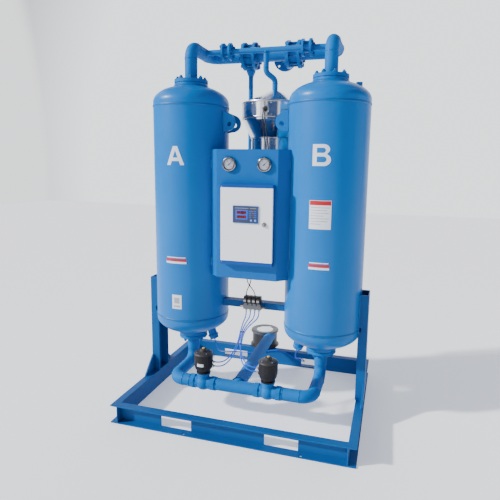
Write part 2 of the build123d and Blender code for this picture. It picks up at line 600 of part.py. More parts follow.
def actuator(xv, side):
    """Piston actuator housing with a base flange, a sight boss and two air ports."""
    with BuildPart() as b:
        lathe(xv, LOW_Y, [(0, ACT_Z0), (46, ACT_Z0), (46, ACT_Z0 + 8), (36, ACT_Z0 + 11), (45, ACT_Z0 + 18), (54, ACT_Z0 + 32),
                          (ACT_R - 2, ACT_Z0 + 50), (ACT_R, ACT_Z0 + 66), (ACT_R, ACT_Z0 + 128), (ACT_R - 3, ACT_Z0 + 137), (ACT_R - 12, ACT_Z0 + 143),
                          (23, ACT_Z0 + 147), (21, ACT_Z0 + 158), (13, ACT_Z0 + 163), (0, ACT_Z0 + 163)])
        for dz in (52, 80):
            disc((xv + side * (ACT_R - 10), LOW_Y, ACT_Z0 + dz), (side, 0, 0), 10, 24)
        lathe(xv, LOW_Y, [(0, ACT_Z0 + 56), (50, ACT_Z0 + 56), (50, ACT_Z0 + 130), (0, ACT_Z0 + 130)], Mode.SUBTRACT)
        lathe(xv, LOW_Y, [(0, ACT_Z0 - 5), (8.05, ACT_Z0 - 5), (8.05, ACT_Z0 + 60), (0, ACT_Z0 + 60)], Mode.SUBTRACT)
        lathe(xv, LOW_Y, [(0, ACT_Z0 + 128), (8.05, ACT_Z0 + 128), (8.05, ACT_Z0 + 170), (0, ACT_Z0 + 170)], Mode.SUBTRACT)
    return b


valve_actuator_a = actuator(VALVE_XA, 1)
valve_actuator_b = actuator(VALVE_XB, -1)


def stem(xv):
    """Valve stem with its plug, the piston and the coloured indicator tip."""
    with BuildPart() as b:
        disc((xv, LOW_Y, LOW_Z - 1.5), (0, 0, 1), 23, 9)
        disc((xv, LOW_Y, LOW_Z), (0, 0, 1), 8, ACT_Z0 + 166 - LOW_Z)
        disc((xv, LOW_Y, ACT_Z0 + 58), (0, 0, 1), 49.7, 14)
    return b


valve_stem_a = stem(VALVE_XA)
valve_stem_b = stem(VALVE_XB)

# Middle of the manifold with the exhaust branch that runs back to the silencer.
BR0 = (-20.0, LOW_Y, LOW_Z)
BR1 = (-48.0, SIL_Y - 10, LOW_Z)
with BuildPart() as exhaust_manifold:
    disc((VALVE_XA + 85, LOW_Y, LOW_Z), (1, 0, 0), LOW_R, VALVE_XB - VALVE_XA - 170)
    tube([BR0, BR1], 0, 43)
    disc((SIL_X, SIL_Y, 60), (0, 0, 1), SIL_R, 300, Mode.SUBTRACT)
    disc((SIL_X, SIL_Y, 242), (0, 0, 1), 117, 60, Mode.SUBTRACT)
    disc((VALVE_XA + 80, LOW_Y, LOW_Z), (1, 0, 0), LOW_I, VALVE_XB - VALVE_XA - 160, Mode.SUBTRACT)
    tube([BR0, (-48.3, SIL_Y + 10, LOW_Z)], 0, 38.5, Mode.SUBTRACT)

# Exhaust silencer above the back rail: base flange, drum and ring cap.
with BuildPart() as exhaust_silencer:
    lathe(SIL_X, SIL_Y, [(0, 124), (120, 124), (120, 134), (SIL_R, 136), (SIL_R, 244), (116, 246), (116, 256), (108, 262), (66, 262),
                         (66, 256), (0, 256), (0, 250), (SIL_R - 4, 250), (SIL_R - 4, 138), (0, 138)])
    with BuildSketch(Plane(origin=(-48, SIL_Y - 140, LOW_Z - 26), z_dir=(0, 1, 0))) as s:
        with Locations((0, 0)):
            Circle(30)
    extrude(to_extrude=s.sketch, amount=100, mode=Mode.SUBTRACT)

# ---------------------------------------------------------------- instrument housing
OUTLINE = [(-CAB_OW, CAB_BACK), (-CAB_HW, CAB_Y), (CAB_HW, CAB_Y), (CAB_OW, CAB_BACK)]
GAUGE = [(-114.0, 1638.0), (114.0, 1638.0)]
with BuildPart() as cabinet_housing:
    # one folded sheet: flat front, two splayed sides, and turned-in edges
    with BuildSketch(Plane.XY.offset(CAB_Z0)) as s:
        with BuildLine():
            Polyline(*OUTLINE, close=True)
        make_face()
    extrude(amount=CAB_Z1 - CAB_Z0)
    d = SHEET * 2.2
    with BuildSketch(Plane.XY.offset(CAB_Z0 + SHEET)) as s:
        with BuildLine():
            Polyline((-CAB_OW + d, CAB_BACK - SHEET), (-CAB_HW + 1, CAB_Y + SHEET), (CAB_HW - 1, CAB_Y + SHEET),
                     (CAB_OW - d, CAB_BACK - SHEET), close=True)
        make_face()
    extrude(amount=CAB_Z1 - CAB_Z0 - 2 * SHEET, mode=Mode.SUBTRACT)
    block(-CAB_OW + 32, CAB_OW - 32, CAB_BACK - 10, CAB_BACK + 5, CAB_Z0 + 20, CAB_Z1 - 20, Mode.SUBTRACT)
    block(BOX_X0, BOX_X1, CAB_Y - 5, CAB_Y + 20, BOX_Z0, BOX_Z1, Mode.SUBTRACT)
    for gx, gz in GAUGE:
        disc((gx, CAB_Y - 5, gz), (0, 1, 0), 40, 20, Mode.SUBTRACT)
    # cable openings in the bottom and the top
    for wx, wy in ((-8, 46), (23, 46)):
        disc((wx, CAB_Y + wy, CAB_Z0 - 5), (0, 0, 1), 8, 15, Mode.SUBTRACT)
    block(90, 140, CAB_Y + 40, CAB_Y + 62, CAB_Z1 - 10, CAB_Z1 + 10, Mode.SUBTRACT)
    # tabs welded to the towers
    for sx in (-1, 1):
        for z in (1000, 1640):
            block(min(sx * 236, sx * 266), max(sx * 236, sx * 266), CAB_BACK - 8, CAB_BACK, z - 30, z + 30)
    for sx in (-1, 1):
        disc((sx * TOWER_X, TOWER_Y, CAB_Z0 - 10), (0, 0, 1), TOWER_R, CAB_Z1 - CAB_Z0 + 20, Mode.SUBTRACT)

# Electrical enclosure through the housing's front.
with BuildPart() as enclosure_box:
    block(BOX_X0, BOX_X1, BOX_Y0, BOX_Y1, BOX_Z0, BOX_Z1)
    block(BOX_X0 - 5, BOX_X1 + 5, BOX_Y0 - 5, Y0 + 369, DOOR_Z0 - 1, DOOR_Z1 + 1, Mode.SUBTRACT)
    block(BOX_X0 + 20, BOX_X1 - 20, Y0 + 365, BOX_Y1 - 10, BOX_Z0 + 43, BOX_Z1 - 40, Mode.SUBTRACT)
    block(BOX_X0 + 2, BOX_X1 - 2, Y0 + 371, BOX_Y1 - 2, BOX_Z0 + 2, BOX_Z1 - 2, Mode.SUBTRACT)
    for z in (DOOR_Z1, DOOR_Z0 - 12):
        disc((HINGE_X, HINGE_Y, z), (0, 0, 1), 3.05, 12, Mode.SUBTRACT)

# Enclosure door: a folded pan with its two hinge pins.
with BuildPart() as enclosure_door:
    block(BOX_X0 + 0.5, BOX_X1 - 0.5, DOOR_Y, DOOR_Y + 19.5, DOOR_Z0, DOOR_Z1)
    with BuildSketch(Plane.XY.offset(DOOR_Z0 + 2)) as s:
        with Locations(((BOX_X0 + BOX_X1) / 2, DOOR_Y + 2 + 10)):
            Rectangle(BOX_X1 - BOX_X0 - 5, 20)
    extrude(amount=DOOR_Z1 - DOOR_Z0 - 4, mode=Mode.SUBTRACT)
    disc((HINGE_X, HINGE_Y, DOOR_Z1 - 2), (0, 0, 1), 3, 12)
    disc((HINGE_X, HINGE_Y, DOOR_Z0 - 10), (0, 0, 1), 3, 12)
    disc((LOCK_X, DOOR_Y - 5, LOCK_Z), (0, 1, 0), 9.05, 20, Mode.SUBTRACT)
    block(-66, 84, DOOR_Y - 5, DOOR_Y + 10, 1286, 1379, Mode.SUBTRACT)

# Quarter-turn lock: knob, barrel and cam.
with BuildPart() as door_lock:
    disc((LOCK_X, DOOR_Y - 0.3, LOCK_Z), (0, -1, 0), 12, 9)
    disc((LOCK_X, DOOR_Y - 1, LOCK_Z), (0, 1, 0), 9, 24)
    block(LOCK_X - 8, LOCK_X + 8, DOOR_Y + 23, DOOR_Y + 27, LOCK_Z - 42, LOCK_Z + 9)
    block(LOCK_X - 3, LOCK_X + 3, DOOR_Y - 13, DOOR_Y - 9, LOCK_Z - 9, LOCK_Z + 9)

# Controller: bezel on the door, body through it, with two push buttons.
BTN = [(48.0, 1297.5), (74.0, 1297.5)]
with BuildPart() as controller:
    block(-73, 91, DOOR_Y - 7, DOOR_Y, 1279, 1386)
    block(-66, 84, DOOR_Y - 1, DOOR_Y + 18, 1286, 1379)
    for bx, bz in BTN:
        disc((bx, DOOR_Y - 10, bz), (0, 1, 0), 6.6, 9, Mode.SUBTRACT)

with BuildPart() as button_up:
    disc((BTN[0][0], DOOR_Y - 9.5, BTN[0][1]), (0, 1, 0), 6.5, 6)

with BuildPart() as button_down:
    disc((BTN[1][0], DOOR_Y - 9.5, BTN[1][1]), (0, 1, 0), 6.5, 6)


def gauge(gx, gz):
    """Flush-mounted gauge: case, flange ring, bezel and dial face."""
    with BuildPart() as g:
        disc((gx, CAB_Y, gz), (0, 1, 0), 39.7, 34)
        disc((gx, CAB_Y - 5, gz), (0, 1, 0), 47.5, 5)
        disc((gx, CAB_Y - 15, gz), (0, 1, 0), 42, 10)
        disc((gx, CAB_Y - 16, gz), (0, 1, 0), 38, 9, Mode.SUBTRACT)
        disc((gx, CAB_Y + 34, gz), (0, 1, 0), 8, 14)
        disc((gx, CAB_Y - 8, gz), (0, 1, 0), 2.05, 12, Mode.SUBTRACT)
    return g


gauge_a = gauge(*GAUGE[0])
gauge_b = gauge(*GAUGE[1])


def needle(gx, gz):
    """Pointer on its spindle, pointing up and to the right."""
    with BuildPart() as n:
        disc((gx, CAB_Y - 11, gz), (0, 1, 0), 2, 12)
        disc((gx, CAB_Y - 10.5, gz), (0, 1, 0), 4, 1.5)
        with BuildSketch(Plane(origin=(gx, CAB_Y - 9, gz), x_dir=(0.72, 0, 0.69), z_dir=(0, -1, 0))) as s2:
            with BuildLine():
                Polyline((-11, -2.2), (4, -1.6), (30, -0.5), (30, 0.5), (4, 1.6), (-11, 2.2), close=True)
            make_face()
        extrude(to_extrude=s2.sketch, amount=1)
    return n


gauge_needle_a = needle(*GAUGE[0])
gauge_needle_b = needle(*GAUGE[1])

# ---------------------------------------------------------------- pilot valves, tubes and wires
SOL_X = (-38.0, -8.0, 22.0, 52.0)
SOL_Y = Y0 + 525.0
with BuildPart() as solenoid_bank:
    block(-60, 74, Y0 + 552, Y0 + 560, 668, 709)
    block(-56, 70, Y0 + 508, Y0 + 552, 672, 700)
    for x in SOL_X:
        block(x - 12, x + 12, SOL_Y - 16, SOL_Y + 16, 700, 712)
        block(x - 14, x + 14, SOL_Y - 18, SOL_Y + 20, 712, 762)
        disc((x, SOL_Y, 762), (0, 0, 1), 8, 8)
        disc((x, SOL_Y, 672), (0, 0, -1), 7, 14)

Z_PORT = 658.0
T1 = (-41.0, Y0 + 452, 534)
T2 = (-46.0, Y0 + 404, 462)
PORT_AX = VALVE_XA + ACT_R + 14
PORT_BX = VALVE_XB - ACT_R - 14

with BuildPart() as air_tubes_a:
    cord([(SOL_X[0], SOL_Y, Z_PORT), (SOL_X[0], SOL_Y, 622), (SOL_X[0] - 12, Y0 + 494, 580), (T1[0] - 12.6, T1[1], T1[2]),
          (T2[0] - 12.6, T2[1], T2[2]), (-72, Y0 + 356, 416), (-98, Y0 + 312, 384), (-136, LOW_Y, ACT_Z0 + 80), (PORT_AX, LOW_Y, ACT_Z0 + 80)],
         TUBE_D, "air_tubes_a 1")
    cord([(SOL_X[1], SOL_Y, Z_PORT), (SOL_X[1], SOL_Y, 620), (SOL_X[1] - 24, Y0 + 492, 578), (T1[0] - 4.2, T1[1] - 1, T1[2]),
          (T2[0] - 4.2, T2[1] - 1, T2[2]), (-62, Y0 + 350, 408), (-94, Y0 + 302, 364), (-134, LOW_Y, ACT_Z0 + 52), (PORT_AX, LOW_Y, ACT_Z0 + 52)],
         TUBE_D, "air_tubes_a 2")

with BuildPart() as air_tubes_b:
    cord([(SOL_X[2], SOL_Y, Z_PORT), (SOL_X[2], SOL_Y, 616), (SOL_X[2] - 34, Y0 + 492, 576), (T1[0] + 4.2, T1[1] + 1, T1[2]),
          (T2[0] + 4.2, T2[1] + 1, T2[2]), (-18, Y0 + 362, 414), (20, Y0 + 312, 388), (64, LOW_Y, ACT_Z0 + 80), (PORT_BX, LOW_Y, ACT_Z0 + 80)],
         TUBE_D, "air_tubes_b 1")
    cord([(SOL_X[3], SOL_Y, Z_PORT), (SOL_X[3], SOL_Y, 615), (SOL_X[3] - 42, Y0 + 494, 578), (T1[0] + 12.6, T1[1] + 2, T1[2]),
          (T2[0] + 12.6, T2[1] + 2, T2[2]), (-22, Y0 + 352, 398), (16, Y0 + 304, 364), (62, LOW_Y, ACT_Z0 + 52), (PORT_BX, LOW_Y, ACT_Z0 + 52)],
         TUBE_D, "air_tubes_b 2")

# Signal tube between the two drain ports, laid along the back rail.
RAIL_ROUTE = [(-306.6, 0, 401), (-291, 0, 354), (-289, 30, 298), (-297, 100, 258), (-316, 192, 216), (-340, 290, 172),
              (-360, 386, 126), (-364, 470, 92), (-330, 528, 77), (-262, 549, 71), (-180, 551, 77), (-98, 549, 96),
              (-22, 551, 118), (50, 549, 127), (112, 551, 110), (168, 549, 80), (222, 543, 64), (262, 506, 78),
              (282, 436, 112), (292, 350, 156), (298, 262, 202), (301, 176, 246), (299, 98, 280), (290, 34, 306),
              (291, 0, 354), (306.6, 0, 401)]
with BuildPart() as rail_tube:
    cord([(x, TOWER_Y + y, z) for x, y, z in RAIL_ROUTE], TUBE_D, "rail_tube")

# Leads from the housing to the pilot valves' coils.
with BuildPart() as coil_wires:
    cord([(-8, CAB_Y + 46, CAB_Z0 + 4), (-6, CAB_Y + 48, 884), (6, Y0 + 456, 852), (22, Y0 + 480, 818), (28, Y0 + 504, 788),
          (24, SOL_Y - 3, 764)], WIRE_D, "coil_wires 1")
    cord([(23, CAB_Y + 46, CAB_Z0 + 4), (20, CAB_Y + 44, 884), (6, Y0 + 446, 854), (-14, Y0 + 470, 820), (-32, Y0 + 502, 790),
          (-37, SOL_Y - 3, 764)], WIRE_D, "coil_wires 2")

# Leads from the heater's gland to the top of the housing.
GL_Y = HEAT_Y - HEAT_R - 16
with BuildPart() as heater_leads:
    cord([(HEAT_X - 5, GL_Y + 6, 2001), (HEAT_X - 5, GL_Y - 30, 1984), (HEAT_X - 3, GL_Y - 54, 1948), (54, GL_Y - 72, 1902),
          (68, GL_Y - 102, 1846), (86, Y0 + 484, 1794), (100, Y0 + 454, 1756), (106, Y0 + 440, CAB_Z1 - 4)], WIRE_D, "heater_leads 1")
    cord([(HEAT_X + 5, GL_Y + 6, 2001), (HEAT_X + 6, GL_Y - 28, 1985), (HEAT_X + 11, GL_Y - 50, 1950), (70, GL_Y - 68, 1902),
          (85, GL_Y - 100, 1846), (103, Y0 + 486, 1794), (117, Y0 + 456, 1756), (123, Y0 + 442, CAB_Z1 - 4)], WIRE_D, "heater_leads 2")

for row in radii_seen:
    print("cord", row[0], "tightest arc in diameters", row[1], "longest run", row[2], "shortest run", row[3])

# ---------------------------------------------------------------- labels and files
skid_front_rail.part.label = "skid_front_rail"
skid_rear_rail.part.label = "skid_rear_rail"
skid_left_rail.part.label = "skid_left_rail"
skid_right_rail.part.label = "skid_right_rail"
left_post.part.label = "left_post"
right_post.part.label = "right_post"
post_gussets.part.label = "post_gussets"
cross_beam.part.label = "cross_beam"
tower_a_vessel.part.label = "tower_a_vessel"
tower_b_vessel.part.label = "tower_b_vessel"
desiccant_bed_a.part.label = "desiccant_bed_a"
desiccant_bed_b.part.label = "desiccant_bed_b"
bed_screens.part.label = "bed_screens"
lifting_lugs.part.label = "lifting_lugs"
outlet_spool_a.part.label = "outlet_spool_a"
outlet_spool_b.part.label = "outlet_spool_b"
flange_gaskets.part.label = "flange_gaskets"
vessel_flange_bolts.part.label = "vessel_flange_bolts"
outlet_check_valve_a.part.label = "outlet_check_valve_a"
outlet_check_valve_b.part.label = "outlet_check_valve_b"
outlet_check_disc_a.part.label = "outlet_check_disc_a"
outlet_check_disc_b.part.label = "outlet_check_disc_b"
outlet_tee.part.label = "outlet_tee"
flange_studs.part.label = "flange_studs"
purge_header.part.label = "purge_header"
purge_check_valve_a.part.label = "purge_check_valve_a"
purge_check_valve_b.part.label = "purge_check_valve_b"
purge_feed_pipe.part.label = "purge_feed_pipe"
heater_jacket.part.label = "heater_jacket"
heater_vessel.part.label = "heater_vessel"
heater_element.part.label = "heater_element"
heater_bracket.part.label = "heater_bracket"
lower_spool_a.part.label = "lower_spool_a"
lower_spool_b.part.label = "lower_spool_b"
valve_body_a.part.label = "valve_body_a"
valve_body_b.part.label = "valve_body_b"
valve_actuator_a.part.label = "valve_actuator_a"
valve_actuator_b.part.label = "valve_actuator_b"
valve_stem_a.part.label = "valve_stem_a"
valve_stem_b.part.label = "valve_stem_b"
exhaust_manifold.part.label = "exhaust_manifold"
exhaust_silencer.part.label = "exhaust_silencer"
cabinet_housing.part.label = "cabinet_housing"
enclosure_box.part.label = "enclosure_box"
enclosure_door.part.label = "enclosure_door"
door_lock.part.label = "door_lock"
controller.part.label = "controller"
button_up.part.label = "button_up"
button_down.part.label = "button_down"
gauge_a.part.label = "gauge_a"
gauge_b.part.label = "gauge_b"
gauge_needle_a.part.label = "gauge_needle_a"
gauge_needle_b.part.label = "gauge_needle_b"
solenoid_bank.part.label = "solenoid_bank"
air_tubes_a.part.label = "air_tubes_a"
air_tubes_b.part.label = "air_tubes_b"
rail_tube.part.label = "rail_tube"
coil_wires.part.label = "coil_wires"
heater_leads.part.label = "heater_leads"

export_step(skid_front_rail.part, "parts/skid_front_rail.step")
export_step(skid_rear_rail.part, "parts/skid_rear_rail.step")
export_step(skid_left_rail.part, "parts/skid_left_rail.step")
export_step(skid_right_rail.part, "parts/skid_right_rail.step")
export_step(left_post.part, "parts/left_post.step")
export_step(right_post.part, "parts/right_post.step")
export_step(post_gussets.part, "parts/post_gussets.step")
export_step(cross_beam.part, "parts/cross_beam.step")
export_step(tower_a_vessel.part, "parts/tower_a_vessel.step")
export_step(tower_b_vessel.part, "parts/tower_b_vessel.step")
export_step(desiccant_bed_a.part, "parts/desiccant_bed_a.step")
export_step(desiccant_bed_b.part, "parts/desiccant_bed_b.step")
export_step(bed_screens.part, "parts/bed_screens.step")
export_step(lifting_lugs.part, "parts/lifting_lugs.step")
export_step(outlet_spool_a.part, "parts/outlet_spool_a.step")
export_step(outlet_spool_b.part, "parts/outlet_spool_b.step")
export_step(flange_gaskets.part, "parts/flange_gaskets.step")
export_step(vessel_flange_bolts.part, "parts/vessel_flange_bolts.step")
export_step(outlet_check_valve_a.part, "parts/outlet_check_valve_a.step")
export_step(outlet_check_valve_b.part, "parts/outlet_check_valve_b.step")
export_step(outlet_check_disc_a.part, "parts/outlet_check_disc_a.step")
export_step(outlet_check_disc_b.part, "parts/outlet_check_disc_b.step")
export_step(outlet_tee.part, "parts/outlet_tee.step")
export_step(flange_studs.part, "parts/flange_studs.step")
export_step(purge_header.part, "parts/purge_header.step")
export_step(purge_check_valve_a.part, "parts/purge_check_valve_a.step")
export_step(purge_check_valve_b.part, "parts/purge_check_valve_b.step")
export_step(purge_feed_pipe.part, "parts/purge_feed_pipe.step")
export_step(heater_jacket.part, "parts/heater_jacket.step")
export_step(heater_vessel.part, "parts/heater_vessel.step")
export_step(heater_element.part, "parts/heater_element.step")
export_step(heater_bracket.part, "parts/heater_bracket.step")
export_step(lower_spool_a.part, "parts/lower_spool_a.step")
export_step(lower_spool_b.part, "parts/lower_spool_b.step")
export_step(valve_body_a.part, "parts/valve_body_a.step")
export_step(valve_body_b.part, "parts/valve_body_b.step")
export_step(valve_actuator_a.part, "parts/valve_actuator_a.step")
export_step(valve_actuator_b.part, "parts/valve_actuator_b.step")
export_step(valve_stem_a.part, "parts/valve_stem_a.step")
export_step(valve_stem_b.part, "parts/valve_stem_b.step")
export_step(exhaust_manifold.part, "parts/exhaust_manifold.step")
export_step(exhaust_silencer.part, "parts/exhaust_silencer.step")
export_step(cabinet_housing.part, "parts/cabinet_housing.step")
export_step(enclosure_box.part, "parts/enclosure_box.step")
export_step(enclosure_door.part, "parts/enclosure_door.step")
export_step(door_lock.part, "parts/door_lock.step")
export_step(controller.part, "parts/controller.step")
export_step(button_up.part, "parts/button_up.step")
export_step(button_down.part, "parts/button_down.step")
export_step(gauge_a.part, "parts/gauge_a.step")
export_step(gauge_b.part, "parts/gauge_b.step")
export_step(gauge_needle_a.part, "parts/gauge_needle_a.step")
export_step(gauge_needle_b.part, "parts/gauge_needle_b.step")
export_step(solenoid_bank.part, "parts/solenoid_bank.step")
export_step(air_tubes_a.part, "parts/air_tubes_a.step")
export_step(air_tubes_b.part, "parts/air_tubes_b.step")
export_step(rail_tube.part, "parts/rail_tube.step")
export_step(coil_wires.part, "parts/coil_wires.step")
export_step(heater_leads.part, "parts/heater_leads.step")
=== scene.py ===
import bpy
import bmesh
import math
import random
from mathutils import Matrix, Vector, noise


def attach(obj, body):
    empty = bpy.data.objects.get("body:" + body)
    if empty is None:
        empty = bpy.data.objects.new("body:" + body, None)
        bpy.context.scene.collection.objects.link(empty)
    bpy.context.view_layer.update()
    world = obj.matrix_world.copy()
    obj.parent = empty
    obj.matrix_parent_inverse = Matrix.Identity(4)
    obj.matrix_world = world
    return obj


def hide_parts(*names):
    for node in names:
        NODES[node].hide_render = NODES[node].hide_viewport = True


# Twin-tower heated desiccant air dryer: looks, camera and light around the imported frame.
# Metres, the same frame as the solids: X along the front, Y towards the back, Z up.

random.seed(11)
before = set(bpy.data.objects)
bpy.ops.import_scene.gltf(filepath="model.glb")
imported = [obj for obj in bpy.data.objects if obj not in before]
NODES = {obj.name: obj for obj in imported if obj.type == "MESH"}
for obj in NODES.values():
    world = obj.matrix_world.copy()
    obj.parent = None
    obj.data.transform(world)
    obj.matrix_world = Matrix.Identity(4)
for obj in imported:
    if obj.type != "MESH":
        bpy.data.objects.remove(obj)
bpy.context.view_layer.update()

Y0 = -0.691
TX, TY, TR = 0.469, Y0 + 0.610, 0.254
HDR_Z, HDR_Y, PRG_Y = 2.406, Y0 + 0.955, Y0 + 0.795
LOW_Z, LOW_Y = 0.220, Y0 + 0.284
HX, HY = 0.048, Y0 + 0.860
CAB_Y = Y0 + 0.391
DOOR_Y = Y0 + 0.346
VALVES = {"a": -0.250, "b": 0.188}
ACT_Z0 = LOW_Z + 0.070
SIL_X, SIL_Y = -0.106, Y0 + 1.262
SIL_R = 0.104
GAUGES = {"a": (-0.114, 1.638), "b": (0.114, 1.638)}

# ---------------------------------------------------------------- camera
cam_data = bpy.data.cameras.new("camera")
cam_data.sensor_width = 36.0
cam_data.sensor_fit = "HORIZONTAL"
cam_data.lens = 32.557
cam_data.shift_x = -0.02789
cam_data.shift_y = -0.02117
cam_data.clip_end = 60.0
camera = bpy.data.objects.new("camera", cam_data)
bpy.context.scene.collection.objects.link(camera)
bpy.context.scene.camera = camera
R = (Matrix.Rotation(math.radians(15.718), 3, "Z") @ Matrix.Rotation(math.radians(-9.072), 3, "X")
     @ Matrix.Rotation(math.radians(-0.8926), 3, "Y"))
m = Matrix.Identity(4)
for i in range(3):
    m[i][0] = R[i][0]
    m[i][1] = R[i][2]
    m[i][2] = -R[i][1]
m.translation = Vector((0.87495, -2.30227 + Y0, 1.62293))
camera.matrix_world = m


# ---------------------------------------------------------------- materials
def new_mat(name):
    mt = bpy.data.materials.new(name)
    mt.use_nodes = True
    nt = mt.node_tree
    return mt, nt, nt.nodes["Principled BSDF"]


def node(nt, kind, **values):
    n = nt.nodes.new(kind)
    for k, v in values.items():
        if hasattr(n, k):
            setattr(n, k, v)
        else:
            n.inputs[k.replace("_", " ")].default_value = v
    return n


def coords(nt, scale=(1, 1, 1)):
    tc = nt.nodes.new("ShaderNodeTexCoord")
    mp = nt.nodes.new("ShaderNodeMapping")
    mp.inputs["Scale"].default_value = scale
    nt.links.new(tc.outputs["Object"], mp.inputs["Vector"])
    return mp.outputs["Vector"]


def noise_tex(nt, vec, scale, detail=4.0, rough=0.55):
    n = nt.nodes.new("ShaderNodeTexNoise")
    n.inputs["Scale"].default_value = scale
    n.inputs["Detail"].default_value = detail
    n.inputs["Roughness"].default_value = rough
    nt.links.new(vec, n.inputs["Vector"])
    return n.outputs["Fac"]


def ramp(nt, fac, stops):
    r = nt.nodes.new("ShaderNodeValToRGB")
    el = r.color_ramp.elements
    while len(el) > 1:
        el.remove(el[-1])
    for i, (p, c) in enumerate(stops):
        e = el[0] if i == 0 else el.new(p)
        e.position = p
        e.color = (c[0], c[1], c[2], 1) if hasattr(c, "__len__") else (c, c, c, 1)
    nt.links.new(fac, r.inputs["Fac"])
    return r.outputs["Color"]


def mix_rgb(nt, fac, a, b):
    mx = nt.nodes.new("ShaderNodeMix")
    mx.data_type = "RGBA"
    if isinstance(fac, float):
        mx.inputs[0].default_value = fac
    else:
        nt.links.new(fac, mx.inputs[0])
    for sock, val in ((mx.inputs[6], a), (mx.inputs[7], b)):
        if hasattr(val, "__len__"):
            sock.default_value = (val[0], val[1], val[2], 1)
        else:
            nt.links.new(val, sock)
    return mx.outputs[2]


def bump(nt, bsdf, heights):
    """heights: list of (socket, strength, distance)."""
    last = None
    for h, s, d in heights:
        b = nt.nodes.new("ShaderNodeBump")
        b.inputs["Strength"].default_value = s
        b.inputs["Distance"].default_value = d
        nt.links.new(h, b.inputs["Height"])
        if last is not None:
            nt.links.new(last, b.inputs["Normal"])
        last = b.outputs["Normal"]
    nt.links.new(last, bsdf.inputs["Normal"])


def enamel(name, base, deep, rough=0.33, peel=0.05, coat=0.25, wear=True, spec=0.22):
    """Sprayed enamel: slow mottling, orange peel, a few paler scuffs on the edges."""
    mt, nt, p = new_mat(name)
    v = coords(nt)
    slow = noise_tex(nt, v, 2.2, 3)
    fine = noise_tex(nt, v, 38.0, 5, 0.6)
    col = mix_rgb(nt, ramp(nt, slow, [(0.35, 0.0), (0.68, 1.0)]), deep, base)
    if wear:
        geo = nt.nodes.new("ShaderNodeNewGeometry")
        edge = ramp(nt, geo.outputs["Pointiness"], [(0.535, 0.0), (0.60, 1.0)])
        mul = node(nt, "ShaderNodeMath", operation="MULTIPLY")
        nt.links.new(edge, mul.inputs[0])
        nt.links.new(ramp(nt, fine, [(0.48, 0.0), (0.62, 0.55)]), mul.inputs[1])
        pale = tuple(min(1.0, c * 1.5 + 0.05) for c in base)
        col = mix_rgb(nt, mul.outputs[0], col, pale)
    nt.links.new(col, p.inputs["Base Color"])
    nt.links.new(ramp(nt, fine, [(0.3, rough - 0.05), (0.75, rough + 0.08)]), p.inputs["Roughness"])
    p.inputs["Specular IOR Level"].default_value = spec
    p.inputs["Coat Weight"].default_value = coat
    p.inputs["Coat Roughness"].default_value = 0.12
    bump(nt, p, [(noise_tex(nt, v, 120.0, 1), peel, 0.0004)])
    return mt


def metal(name, base, rough, stretch=(1, 1, 1), scale=60.0, var=0.1, strength=0.05, coat=0.0):
    """Bare metal with drawn or rolled grain."""
    mt, nt, p = new_mat(name)
    v = coords(nt, stretch)
    g = noise_tex(nt, v, scale, 6, 0.65)
    slow = noise_tex(nt, coords(nt), 7.0, 3)
    p.inputs["Metallic"].default_value = 1.0
    nt.links.new(mix_rgb(nt, ramp(nt, slow, [(0.3, 0.0), (0.75, 1.0)]), tuple(c * 0.86 for c in base), base), p.inputs["Base Color"])
    nt.links.new(ramp(nt, g, [(0.25, max(0.02, rough - var)), (0.8, rough + var)]), p.inputs["Roughness"])
    p.inputs["Coat Weight"].default_value = coat
    bump(nt, p, [(g, strength, 0.0006)])
    return mt


def plastic(name, base, rough=0.45, grain=420.0, strength=0.12, spec=0.5, slow_var=0.12):
    mt, nt, p = new_mat(name)
    v = coords(nt)
    slow = noise_tex(nt, v, 14.0, 3)
    col = mix_rgb(nt, ramp(nt, slow, [(0.3, 0.0), (0.7, 1.0)]), tuple(c * (1 - slow_var) for c in base),
                  tuple(min(1, c * (1 + slow_var)) for c in base))
    nt.links.new(col, p.inputs["Base Color"])
    nt.links.new(ramp(nt, noise_tex(nt, v, 60.0, 4), [(0.3, max(0.03, rough - 0.05)), (0.75, min(1, rough + 0.07))]), p.inputs["Roughness"])
    p.inputs["Specular IOR Level"].default_value = spec
    bump(nt, p, [(noise_tex(nt, v, grain, 2), strength, 0.0003)])
    return mt


def glow(name, col, strength):
    mt, nt, p = new_mat(name)
    v = coords(nt)
    n = noise_tex(nt, v, 900.0, 1)
    nt.links.new(mix_rgb(nt, n, tuple(c * 0.8 for c in col), col), p.inputs["Base Color"])
    p.inputs["Emission Color"].default_value = (col[0], col[1], col[2], 1)
    p.inputs["Emission Strength"].default_value = strength
    p.inputs["Roughness"].default_value = 0.3
    return mt


BLUE = enamel("blue_enamel", (0.0, 0.165, 0.50), (0.0, 0.148, 0.46), rough=0.34, peel=0.012, coat=0.03, wear=False)
BLUE_DARK = enamel("blue_enamel_rails", (0.0, 0.094, 0.31), (0.0, 0.076, 0.26), rough=0.50, peel=0.03, coat=0.0, wear=False)
BLUE_BEAD = enamel("blue_enamel_weld", (0.0, 0.138, 0.42), (0.0, 0.104, 0.33), rough=0.36, peel=0.06, coat=0.03)
PANEL = enamel("panel_enamel", (0.0, 0.118, 0.40), (0.0, 0.110, 0.375), rough=0.34, peel=0.02, coat=0.03, wear=False)
BOXBLUE = enamel("enclosure_enamel", (0.0, 0.070, 0.34), (0.0, 0.062, 0.31), rough=0.34, peel=0.02, coat=0.03, wear=False)
WHITE = enamel("white_powder", (0.87, 0.89, 0.93), (0.84, 0.86, 0.91), rough=0.42, peel=0.09, coat=0.0)
MARK = enamel("white_mark", (0.80, 0.83, 0.87), (0.72, 0.77, 0.83), rough=0.4, wear=False)
MARK_RED = enamel("red_mark", (0.55, 0.02, 0.03), (0.42, 0.015, 0.02), rough=0.4, wear=False)
MARK_GREY = enamel("grey_mark", (0.42, 0.43, 0.46), (0.34, 0.35, 0.38), rough=0.5, wear=False)
